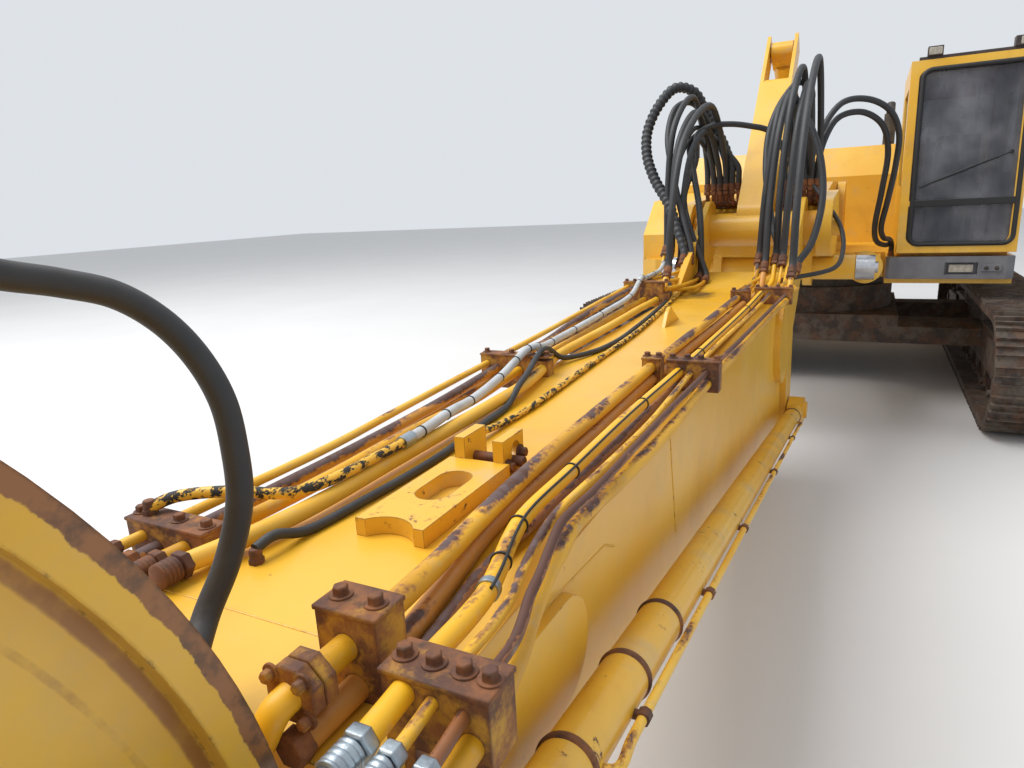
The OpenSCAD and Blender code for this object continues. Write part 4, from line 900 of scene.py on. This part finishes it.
# %% Hoses to the stick
LUG_X, LUG_Z = 9.7993, 1.490
FRONT = {
    "hose_front_1": ("pipe_bright", 0.016, 322, [(9100, 352, 1556), (9300, 352, 1550), (9600, 342, 1530)]),
    "hose_front_2": ("pipe_thin", 0.012, 362, [(9100, 398, 1562), (9300, 402, 1568), (9600, 385, 1556)]),
    "hose_front_3": ("pipe_dark", 0.012, 402, [(9100, 440, 1562), (9300, 436, 1572), (9600, 422, 1560)]),
}
for name, (pipe, radius, offset, middle) in FRONT.items():
    start = front_end(ROUTES_RIGHT, pipe) + 0.03 * FORWARD
    end = place([(LUG_X - 0.03, offset / 1000.0, LUG_Z), (LUG_X - 0.002, offset / 1000.0, LUG_Z)])
    path = curve_through(np.vstack([[start, start + 0.04 * FORWARD], place_mm(middle), end]), 10)
    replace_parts(crossing_hose(name, path, radius), "hoses_front")
    nut = [(0, radius * 1.1), (0.003, radius * 1.4), (0.032, radius * 1.4)]
    piece("nut_" + name, turned(path[-1] - 0.03 * FORWARD, FORWARD, nut, 6), ZINC, "stick")

BIG_R = 0.019
BIG_POINTS = [(8886, 110, 1452), (8886, 96, 1452), (8882, 76, 1486), (8870, 64, 1536), (8799, 21, 1585),
              (8751, 27, 1654), (8721, 34, 1735), (8709, 26, 1806), (8707, 14, 1879), (8718, -12, 1945),
              (8742, -40, 1997), (8779, -70, 2036), (8833, -93, 2058), (8910, -100, 2080),
              (9020, -60, 2130), (9160, 50, 2200), (9320, 200, 2275), (9450, 310, 2250),
              (9600, 350, 2080), (9700, 335, 1850), (9760, 325, 1660), (9844, 318, 1580), (9844, 318, 1531)]
big_path = curve_through(place_mm(BIG_POINTS), 10)
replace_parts(crossing_hose("hose_foreground", big_path, BIG_R), "hoses_front")
print("the hose in the foreground is", round(path_length(big_path), 2), "m long")

# %% [markdown]
# The bundles hold more hoses than the row has couplings for. The others start from short bent pipes
# behind the rear clamps and end in upright adapters on the row. Some cross from side to side. One is
# a corrugated sleeve, and two arch over to the deck beside the cab. Most of their places were read
# off the photograph with the camera above. One picture gives no depth, so the depth is a guess that
# is spread evenly along a hose.

# %% More hoses in the bundles
UP = np.array([0.0, 0.0, 1.0])
BAR_X, BAR_Z = 2.96, 2.06


def upright(name, foot, radius, height, body):
    """An adapter that stands on a surface: a hexagon foot and a round neck."""
    hexagon = turned(foot, UP, [(-0.002, radius * 1.3), (height * 0.4, radius * 1.3)], 6)
    neck = [(height * 0.38, radius * 1.05), (height, radius * 1.05), (height + 0.004, radius * 0.9)]
    return piece(name, hexagon + turned(foot, UP, neck), STEEL_BROWN, body)


def bar_adapter(name, offset, radius, height=0.07, rise=0.12):
    """An adapter on the bar behind the row. Returns a hose's last two points, straight above it."""
    foot = place((BAR_X, offset / 1000.0, BAR_Z))[0]
    upright("adapter_" + name, foot, radius, height, "base")
    return [foot + rise * UP, foot + 0.02 * UP]


STUBS = {
    "ribbed": [(4990, -560, 1560), (4800, -545, 1590), (4500, -470, 1580), (4290, -384, 1610),
               (4250, -384, 1659)],
    "left_5": [(4990, -420, 1560), (4700, -400, 1570), (4400, -352, 1560), (4230, -345, 1600),
               (4200, -345, 1654)],
    "left_6": [(4990, -320, 1560), (4700, -300, 1540), (4400, -292, 1530), (4190, -294, 1526),
               (4150, -294, 1534)],
    "right_6": [(5100, 110, 1540), (4800, 95, 1520), (4500, 130, 1540), (4300, 230, 1600),
                (4250, 250, 1653)],
    "right_7": [(4950, 345, 1545), (4800, 345, 1545), (4500, 360, 1560), (4340, 385, 1570),
                (4300, 389, 1600)],
    "right_8": [(4950, 425, 1545), (4800, 440, 1545), (4560, 400, 1520), (4300, 318, 1506),
                (4250, 308, 1512)],
    "cross_1": [(4990, -350, 1560), (4800, -330, 1530), (4500, -250, 1505), (4250, -235, 1512),
                (4210, -235, 1520)],
}
MORE = {
    "ribbed": (0.042, -225, True, [(4136, -450, 1868), (4023, -555, 2078), (3909, -686, 2252),
                                   (3795, -781, 2446), (3682, -805, 2640), (3568, -740, 2837),
                                   (3455, -642, 2956), (3341, -525, 2926), (3235, -434, 2753),
                                   (3240, -300, 2520), (3236, -235, 2350)]),
    "left_5": (HOSE_R, -300, False, [(4050, -442, 1987), (3900, -558, 2318), (3750, -628, 2584),
                                     (3600, -605, 2790), (3450, -515, 2832), (3300, -418, 2692),
                                     (3120, -340, 2479), (2990, -302, 2277)]),
    "left_6": (HOSE_R, -175, True, [(3943, -333, 1979), (3786, -417, 2274), (3629, -486, 2505),
                                    (3471, -444, 2592), (3334, -360, 2560), (3258, -262, 2440),
                                    (3236, -182, 2330)]),
    "cross_1": (0.022, 175, True, [(3960, -450, 2080), (3700, -422, 2386), (3633, -432, 2574),
                                   (3567, -333, 2635), (3500, -210, 2643), (3433, -71, 2621),
                                   (3367, 60, 2579), (3285, 160, 2446), (3238, 176, 2335)]),
    "right_6": (HOSE_R, 200, False, [(4125, 210, 1876), (4000, 152, 2100), (3875, 115, 2309),
                                     (3750, 116, 2554), (3625, 182, 2763), (3500, 280, 2888),
                                     (3375, 356, 2825), (3250, 315, 2642), (3060, 240, 2437),
                                     (2970, 202, 2240)]),
    "right_7": (HOSE_R, 250, False, [(4170, 457, 1752), (4040, 500, 1950), (3910, 501, 2149),
                                     (3780, 453, 2389), (3650, 361, 2607), (3520, 253, 2787),
                                     (3390, 215, 2848), (3240, 225, 2727), (3060, 245, 2454),
                                     (2980, 250, 2240)]),
    "right_8": (0.016, 300, False, [(4017, 609, 1587), (3833, 652, 1695), (3650, 624, 1840),
                                    (3467, 518, 2003), (3283, 420, 2120), (3100, 330, 2230),
                                    (2985, 302, 2240)]),
}
STUB_R, RIB_DEPTH = 0.013, 0.22

for name, (radius, offset, angled, middle) in MORE.items():
    stub = curve_through(place_mm(STUBS[name]), 6)
    piece("stub_" + name, tube(stub, STUB_R, 16), PIPE_FINISHES["pipe_outer"], "main")
    ahead = (stub[-1] - stub[-2]) / np.linalg.norm(stub[-1] - stub[-2])
    grip_r = min(radius, HOSE_R) * GRIP_SHARE
    piece("crimp_" + name, crimp(stub[-1] - 0.02 * ahead, ahead, grip_r, 0.075), STEEL_BROWN, "main")
    tail = row_elbow(name, offset, grip_r) if angled else bar_adapter(name, offset, radius)
    start = [stub[-1] - 0.01 * ahead, stub[-1] + 0.075 * ahead]
    steps, ribs = (28, RIB_DEPTH) if name == "ribbed" else (8, 0.0)
    path = curve_through(np.vstack([start, place_mm(middle), tail]), steps)
    crossing_hose("hose_" + name, path, radius, ribs)

ARCHES = {
    "hose_deck_1": (350, [(3060, 345, 2240), (3190, 400, 2495), (3067, 552, 2758), (2956, 729, 2779),
                          (2844, 888, 2693), (2733, 966, 2531), (2622, 965, 2283), (2500, 930, 2000),
                          (2300, 900, 1780), (2000, 930, 1660), (1700, 990, 1620)], 1560),
    "hose_deck_2": (400, [(3050, 400, 2240), (3140, 440, 2470), (3043, 530, 2653), (2914, 693, 2692),
                          (2786, 841, 2598), (2657, 900, 2402), (2540, 880, 2090), (2350, 850, 1800),
                          (2050, 870, 1640), (1680, 950, 1570)], 1490),
}
SOCKET_Y, DECK_TOP = 1.012, 1.455
for name, (offset, middle, end_x) in ARCHES.items():
    start = bar_adapter(name, offset, HOSE_R)[::-1]
    deck_end = place((end_x / 1000.0, SOCKET_Y, DECK_TOP))[0]
    upright("socket_" + name, deck_end, HOSE_R, 0.05, "upper")
    end = [deck_end + 0.10 * UP, deck_end + 0.02 * UP]
    path = curve_through(np.vstack([start, place_mm(middle), end]), 8)
    crossing_hose(name, path, HOSE_R)

print(len(MORE) + len(ARCHES), "more hoses in the bundles")

# %% [markdown]
# Four lines lie loose on the left of the top plate: an old hose that sheds yellow paint, a white
# sleeve tied to it with black ties, a thin black hose and one more painted one. They lie on the plate
# and on the pipes, so their heights come from what is under them.

# %% Loose lines on the left
def flaking_paint(name):
    """Yellow paint that flakes off black rubber where fine noise is high."""
    finish = Finish(name, roughness=0.5)
    off = finish.noise(55.0, 8.0, 0.7, finish.stretched(0.5, 1.0, 1.0)).between(0.50, 0.53)
    finish.colour(finish.mix(off, finish.mix(finish.noise(8.0, 4.0), YELLOW, FADED), (0.02, 0.019, 0.018)))
    finish.rough(0.4 + 0.3 * off)
    finish.bump(1.0 - off, 0.0012)
    return finish.material


FLAKING = flaking_paint("paint_flaking")
SLEEVE = rubber("sleeve_white", (0.50, 0.52, 0.53), (0.30, 0.29, 0.27), 0.9)
LOOSE = {
    "line_flaking": (0.013, FLAKING, [(8510, -500, 1546), (8470, -470, 1558), (8400, -380, 1556),
                                      (8340, -290, 1540), (8280, -262, 1535), (8180, -246, 1535),
                                      (8060, -244, 1535), (7970, -240, 1536)]),
    "line_white": (0.015, SLEEVE, [(7970, -240, 1536), (7840, -247, 1537), (7670, -272, 1534),
                                   (7500, -296, 1522), (7270, -318, 1536), (7080, -352, 1548),
                                   (6985, -350, 1574), (6915, -347, 1574), (6800, -362, 1552),
                                   (6540, -391, 1540), (6240, -406, 1540), (5810, -428, 1542),
                                   (5260, -456, 1560), (5080, -466, 1612), (4990, -475, 1630),
                                   (4890, -484, 1616), (4700, -502, 1610), (4320, -532, 1612),
                                   (4060, -560, 1660)]),
    "line_black": (0.011, RUBBER, [(8500, -215, 1500), (8450, -213, 1506), (8380, -202, 1484),
                                   (8200, -185, 1482), (7940, -174, 1482), (7740, -186, 1482),
                                   (7590, -200, 1482), (7410, -216, 1484), (7290, -232, 1520),
                                   (7180, -252, 1534), (7040, -285, 1552), (6950, -298, 1568),
                                   (6870, -304, 1558), (6760, -292, 1500), (6540, -235, 1482),
                                   (6300, -210, 1482), (5960, -226, 1482), (5420, -270, 1482),
                                   (4890, -326, 1484), (4600, -385, 1500), (4300, -470, 1550),
                                   (4080, -520, 1640)]),
    "line_painted": (0.011, FLAKING, [(7750, -150, 1500), (7690, -148, 1492), (7560, -142, 1482),
                                      (7376, -137, 1482), (6800, -160, 1482), (6300, -176, 1482),
                                      (5960, -193, 1482), (5420, -238, 1482), (4890, -294, 1482),
                                      (4560, -320, 1490), (4470, -325, 1502), (4420, -325, 1502)]),
}
loose_paths = {}
for name, (radius, finish, points) in LOOSE.items():
    path = curve_through(place_mm(points), 8)
    loose_paths[name] = path
    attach(hose(name, path, radius, finish), "main")
POSTS = {"flaking": (8.51, -0.50, 1.531), "black": (8.50, -0.215, 1.469),
         "painted_1": (7.75, -0.15, 1.469), "painted_2": (4.42, -0.325, 1.472)}
for name, foot in POSTS.items():
    upright("post_" + name, place(foot)[0], 0.012, 0.028, "main")


def ring_round(path, at, radius, width):
    """A short sleeve round a path at one of its points, square to the path."""
    ahead = path[at + 1] - path[at]
    profile = [(0.0, radius * 0.9), (0.0, radius), (width, radius), (width, radius * 0.9)]
    return turned(path[at], ahead, profile, 16)


white = loose_paths["line_white"]
TIE_WIDTH = 0.005
tied_at = [6, *range(14, len(white) - 6, 9)]
ties = joined(ring_round(white, at, 0.0172, TIE_WIDTH) for at in tied_at)
piece("ties_white", ties, RUBBER_CLEAN, "main")
piece("ferrule_white", ring_round(white, 0, 0.0185, 0.05), ZINC, "main")

RISERS = {
    "riser_white": ("line_white", 0.018, -350, [(3900, -575, 1880), (3790, -555, 2250), (3720, -520, 2480),
                                                (3500, -460, 2640), (3200, -385, 2470),
                                                (3010, -355, 2250)]),
    "riser_black": ("line_black", 0.015, -400, [(3960, -540, 1860), (3880, -530, 2300), (3600, -470, 2560),
                                                (3250, -410, 2420), (3015, -400, 2230)]),
}
for name, (line, radius, offset, middle) in RISERS.items():
    tail = bar_adapter(name, offset, radius, 0.06, 0.11)
    lower = loose_paths[line]
    piece("joint_" + name, ring_round(lower, -4, radius * 1.2, 0.06), ZINC, "main")
    path = curve_through(np.vstack([lower[-1:], place_mm(middle), tail]), 8)
    crossing_hose(name, path, radius)
print(len(LOOSE), "loose lines and", len(RISERS), "risers")

# %% [markdown]
# The clamp blocks are bolted through a thin top plate. Its bolt heads are what catches the light on
# the photograph's two front clamps, so each block gets its plate and a row of bolts.

# %% Top plates and bolts of the clamps
CLAMPS = {
    "a": ((8670, 8735), (165, 268), 1600, [186, 247]),
    "b": ((8712, 8778), (306, 460), 1570, [322, 366, 410, 446]),
    "c": ((6920, 6980), (112, 178), 1562, [124, 166]),
    "d": ((6970, 7030), (215, 392), 1572, [228, 280, 325, 380]),
    "e": ((5070, 5130), (105, 212), 1562, [118, 199]),
    "f": ((4920, 4980), (220, 430), 1562, [232, 278, 348, 418]),
    "g": ((8480, 8540), (-540, -312), 1525, [-528, -410, -330]),
    "h": ((6920, 6980), (-555, -262), 1545, [-540, -430, -276]),
    "i": ((4960, 5020), (-585, -300), 1600, [-572, -520, -316]),
}
COVER = 0.007
for key, (along, across, top, bolts) in CLAMPS.items():
    low = place((along[0] / 1000.0 - 0.003, across[0] / 1000.0 - 0.003, top / 1000.0 - 0.001))[0]
    high = place((along[1] / 1000.0 + 0.003, across[1] / 1000.0 + 0.003, top / 1000.0 + COVER))[0]
    piece("clamp_plate_" + key, slab(low, high), STEEL_RUSTY, "main", bevel=0.002)
    feet = [place((sum(along) / 2000.0, offset / 1000.0, top / 1000.0 + COVER))[0] for offset in bolts]
    heads = joined(bolt(foot, UP, 0.0115, 0.011) for foot in feet)
    piece("clamp_bolts_" + key, heads, STEEL_BROWN, "main")
print(len(CLAMPS), "clamp blocks have a top plate and bolts")

# %% [markdown]
# The lock plate is held by a rusty pin and bolts between its two lugs. A triangular lug stands on the
# plate behind it, and weld seams run across the plate and down the boom's side.

# %% Lock pin, lug and seams
pin_start = place((7.90, -0.105, 1.500))[0]
lock_pin = turned(pin_start, [0, 1, 0], [(0, 0.012), (0.002, 0.014), (0.185, 0.014), (0.187, 0.012)], 20)
lock_pin += bolt(place((7.865, 0.052, 1.512))[0], [0, 1.0, 0], 0.013, 0.014)
lock_pin += bolt(place((7.935, 0.052, 1.496))[0], [0, 1.0, 0], 0.013, 0.014)
piece("lock_pin", lock_pin, STEEL_BROWN, "main")


def upright_plate(outline, offset, thick):
    """A plate standing along the boom: an outline of (forward place, height) between two offsets."""
    rows = [[place((x, side, z))[0] for x, z in outline] for side in (offset, offset + thick)]
    return ring_shape(np.array(rows)[::-1])


LUG = [(5.86, 1.469), (5.80, 1.535), (5.76, 1.560), (5.72, 1.560), (5.69, 1.535), (5.56, 1.469)]
piece("plate_lug", upright_plate(LUG, -0.115, 0.02), PAINT_WORN, "main", bevel=0.002)

SIDE_Y = 0.3300
SEAMS = {
    "seam_plate": [(8.64, -0.305, 1.4695), (8.64, 0.150, 1.4695)],
    "seam_side": [(7.44, SIDE_Y, 1.465), (7.38, SIDE_Y, 1.20), (7.36, SIDE_Y, 1.10)],
    "seam_doubler": [(8.44, SIDE_Y, 1.44), (8.36, SIDE_Y, 1.411), (8.015, SIDE_Y, 1.375),
                     (7.95, SIDE_Y, 1.34)],
}
for name, points in SEAMS.items():
    made = weld(place(points), 0.0030, step=0.008, seed=len(name))
    piece(name, made, PAINT_BOOM, "main")
print(len(SEAMS), "weld seams")

# %% [markdown]
# Along each stick cylinder runs a thin feed pipe in small brackets, and rusty weld rings go round the
# barrel. Both follow the cylinder's axis, so they are measured along it.

# %% Feed pipes and rings of the stick cylinders
AXIS_START = np.array([4.2, 0.0, 0.6])
AXIS_END = np.array([9.231, 0.0, 1.338])
AXIS_AHEAD = (AXIS_END - AXIS_START) / np.linalg.norm(AXIS_END - AXIS_START)
BARREL_OFF, BARREL_R, FEED_R = 0.430, 0.052, 0.010
RING = [(0, 0.0515), (0.004, 0.056), (0.010, 0.057), (0.016, 0.056), (0.020, 0.0515)]
SADDLE = [(0, FEED_R), (0.001, 0.015), (0.025, 0.015), (0.026, FEED_R)]


def on_axis(distance, offset, rise=0.0):
    """A point at a distance along the cylinder's axis, beside it and above it."""
    square = np.array([-AXIS_AHEAD[2], 0.0, AXIS_AHEAD[0]])
    return place(AXIS_START + distance * AXIS_AHEAD + rise * square + [0.0, offset, 0.0])[0]


for side_name, side in (("left", -1.0), ("right", 1.0)):
    near, far = side * (BARREL_OFF + 0.03), side * (BARREL_OFF + BARREL_R + FEED_R + 0.008)
    feed = [on_axis(0.55, near, -0.01), on_axis(0.56, far, -0.01), on_axis(0.66, far, -0.01)]
    feed += [on_axis(step, far, -0.01) for step in (1.5, 2.6, 3.6)]
    feed += [on_axis(4.20, far, -0.01), on_axis(4.30, far, -0.01), on_axis(4.31, near, -0.01)]
    piece("feed_pipe_" + side_name, tube(curve_through(feed, 6), FEED_R, 16), PIPE_FINISHES["pipe_thin"],
          "stick_barrel")
    places = [on_axis(step, side * BARREL_OFF) for step in (0.35, 3.75, 4.02, 4.33)]
    rings = joined(turned(at, AXIS_AHEAD, RING, 40) for at in places)
    piece("barrel_rings_" + side_name, rings, STEEL_BROWN, "stick_barrel")
    for number, step in enumerate((1.1, 2.0, 2.9, 3.5, 4.12)):
        start = on_axis(step, far, -0.01)
        saddle = turned(start, AXIS_AHEAD, SADDLE, 8)
        foot_low = on_axis(step, side * (BARREL_OFF + 0.045), -0.01)
        saddle += tube([foot_low + 0.013 * AXIS_AHEAD, start + 0.013 * AXIS_AHEAD], 0.010, 8)
        piece("saddle_%s_%d" % (side_name, number), saddle, STEEL_BROWN, "stick_barrel")
print("the barrels' axis is", round(float(np.linalg.norm(AXIS_END - AXIS_START)), 2), "m long")

# %% [markdown]
# A thin black wire follows the bright pipe and is tied to it with a bright band. It is laid on the
# pipe's own line, a little above and beside it, so it never leaves the pipe.

# %% Wire on the bright pipe
bright = curve_through(climbed(ROUTES_RIGHT["pipe_bright"]), 6)[24:78]
wire_path = bright + np.array([0.0, 0.012, 0.0155])
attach(hose("wire_bright", wire_path, 0.0028, RUBBER_CLEAN), "main")
piece("band_bright", ring_round(bright, 1, 0.0205, 0.016), ZINC, "main")
wire_ties = joined(ring_round(bright, at, 0.0200, TIE_WIDTH) for at in range(8, len(bright) - 2, 8))
piece("ties_bright", wire_ties, RUBBER_CLEAN, "main")
print("the wire is", round(path_length(wire_path), 2), "m long")

# %% [markdown]
# The windscreen sits in a wide black rubber seal with a black bar between its panes. The seal follows
# the opening: four straight sides and four quarter circles, bent back where the screen leans.

# %% Seal, bar and wiper of the windscreen
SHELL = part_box("cab_shell")
CAB_FLOOR, KINK, LEAN, CAB_HEIGHT = 1.490, 0.455, 0.110, 1.710
SCREEN = (SHELL[1].y - 0.88, SHELL[1].y - 0.07, CAB_FLOOR + 0.08, CAB_FLOOR + CAB_HEIGHT - 0.085)
CAB_X = SWING_X + 1.700


def on_screen(across, height, proud=0.0):
    """A point of the cab's front: upright up to the kink and leaning back above it."""
    back = LEAN * max(0.0, height - CAB_FLOOR - KINK) / (CAB_HEIGHT - KINK)
    return [CAB_X - back + proud, across, height]


def rounded_loop(low_y, high_y, low_z, high_z, radius, proud):
    """The opening's outline as a closed line: quarter circles round four corner centres."""
    line = []
    corners = [(high_y - radius, high_z - radius, 0.0), (low_y + radius, high_z - radius, 90.0),
               (low_y + radius, low_z + radius, 180.0), (high_y - radius, low_z + radius, 270.0)]
    for y, z, start in corners:
        for angle in np.radians(np.linspace(start, start + 90.0, 7)):
            line.append(on_screen(y + radius * math.cos(angle), z + radius * math.sin(angle), proud))
        if start == 90.0:
            line.append(on_screen(low_y, CAB_FLOOR + KINK, proud))
    line.append(on_screen(high_y, CAB_FLOOR + KINK, proud))
    line.append(line[0])
    return np.array(line)


seal = tube(rounded_loop(*SCREEN, 0.075, -0.004), 0.021, 12)
piece("screen_seal", seal, RUBBER_CLEAN, "upper")
bar_low = [CAB_X - 0.03, SCREEN[0], CAB_FLOOR + KINK - 0.030]
bar_high = [CAB_X + 0.010, SCREEN[1], CAB_FLOOR + KINK + 0.030]
piece("screen_bar", slab(bar_low, bar_high), RUBBER_CLEAN, "upper", bevel=0.004)

WIPER = [(1.878, 2.361), (1.62, 2.262), (1.193, 2.090)]
arm = tube([on_screen(off + BOOM_Y, z, 0.030) for off, z in WIPER[:2]], 0.007, 10)
arm += tube([on_screen(off + BOOM_Y, z, 0.022) for off, z in WIPER[1:]], 0.010, 10)
BLADE = [(1.79, 2.325), (1.30, 2.130)]
arm += tube([on_screen(off + BOOM_Y, z, 0.018) for off, z in BLADE], 0.008, 8)
knob = on_screen(WIPER[0][0] + BOOM_Y, WIPER[0][1], -0.03)
arm += turned(knob, FORWARD, [(0, 0.016), (0.06, 0.016), (0.068, 0.012)], 16)
piece("screen_wiper", arm, RUBBER_CLEAN, "upper")
print("the opening is", round(SCREEN[1] - SCREEN[0], 2), "m wide")

# %% [markdown]
# Lamps have pale lenses, two on the roof and one in the bumper, and the bumper's small plate has two
# bolts.

# %% Lamp lenses and bumper bolts
LENS = plain_metal("lamp_lens", (0.42, 0.38, 0.31), (0.30, 0.27, 0.22), 0.18, 0.0, 30.0, 0.002)
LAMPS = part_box("roof_lamps")
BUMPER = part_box("bumper")
front, lamp_top = LAMPS[1].x, LAMPS[1].z
for number, low_y in enumerate((SHELL[0].y + 0.12, SHELL[1].y - 0.18)):
    low = [front - 0.004, low_y + 0.008, lamp_top - 0.072]
    high = [front + 0.006, low_y + 0.112, lamp_top - 0.010]
    piece("roof_lens_%d" % number, slab(low, high), LENS, "upper", bevel=0.004)
low = [BUMPER[0].x + 0.058, BUMPER[1].y - 0.505, 1.310]
high = [BUMPER[0].x + 0.066, BUMPER[1].y - 0.315, 1.380]
piece("bumper_lens", slab(low, high), LENS, "upper", bevel=0.004)
feet = [[BUMPER[0].x + 0.090, BUMPER[1].y - inward, 1.350] for inward in (0.215, 0.135)]
plate_bolts = joined(bolt(foot, FORWARD, 0.012, 0.010) for foot in feet)
piece("bumper_bolts", plate_bolts, DARK_STEEL, "upper")
print("3 lenses and 2 bolts")

# %% [markdown]
# The rig stands on a plain pale floor, so that its shadow grounds it. Soft light comes from a pale
# sky all round, as on a cloudy day, with one large lamp to give the shapes a direction.

# %% Floor and light
FLOOR_HALF = 60.0
floor_mesh = bpy.data.meshes.new("floor")
corners = [(-FLOOR_HALF, -FLOOR_HALF, 0.0), (FLOOR_HALF, -FLOOR_HALF, 0.0),
           (FLOOR_HALF, FLOOR_HALF, 0.0), (-FLOOR_HALF, FLOOR_HALF, 0.0)]
floor_mesh.from_pydata(corners, [], [(0, 1, 2, 3)])
floor = bpy.data.objects.new("floor", floor_mesh)
bpy.context.scene.collection.objects.link(floor)
floor_finish = Finish("floor_pale", roughness=0.85)
floor_finish.colour(floor_finish.mix(floor_finish.noise(0.6, 4.0), (0.60, 0.59, 0.58), (0.66, 0.65, 0.64)))
floor.data.materials.append(floor_finish.material)

world = bpy.data.worlds.new("cloudy_sky")
bpy.context.scene.world = world
world.use_nodes = True
world.node_tree.nodes["Background"].inputs["Color"].default_value = (0.86, 0.90, 0.95, 1.0)
world.node_tree.nodes["Background"].inputs["Strength"].default_value = 0.85


def softbox(name, position, target, size, watts):
    """A square lamp at a position, turned so that it shines on the target."""
    data = bpy.data.lights.new(name, "AREA")
    data.shape = "SQUARE"
    data.size = size
    data.energy = watts
    lamp = bpy.data.objects.new(name, data)
    bpy.context.scene.collection.objects.link(lamp)
    away = np.subtract(target, position)
    away = away / np.linalg.norm(away)
    side = np.cross(away, [0.0, 0.0, 1.0])
    side = side / np.linalg.norm(side)
    axes = np.eye(4)
    axes[:3, 0] = side
    axes[:3, 1] = np.cross(side, away)
    axes[:3, 2] = -away
    axes[:3, 3] = position
    lamp.matrix_world = Matrix(axes)
    return lamp


softbox("sky_lamp", (3.0, -10.0, 20.0), (1.0, 0.0, 1.0), 14.0, 5200.0)

bpy.context.scene.view_settings.view_transform = "Standard"
print(len(bpy.data.lights), "lamp and a", 2 * FLOOR_HALF, "m floor")
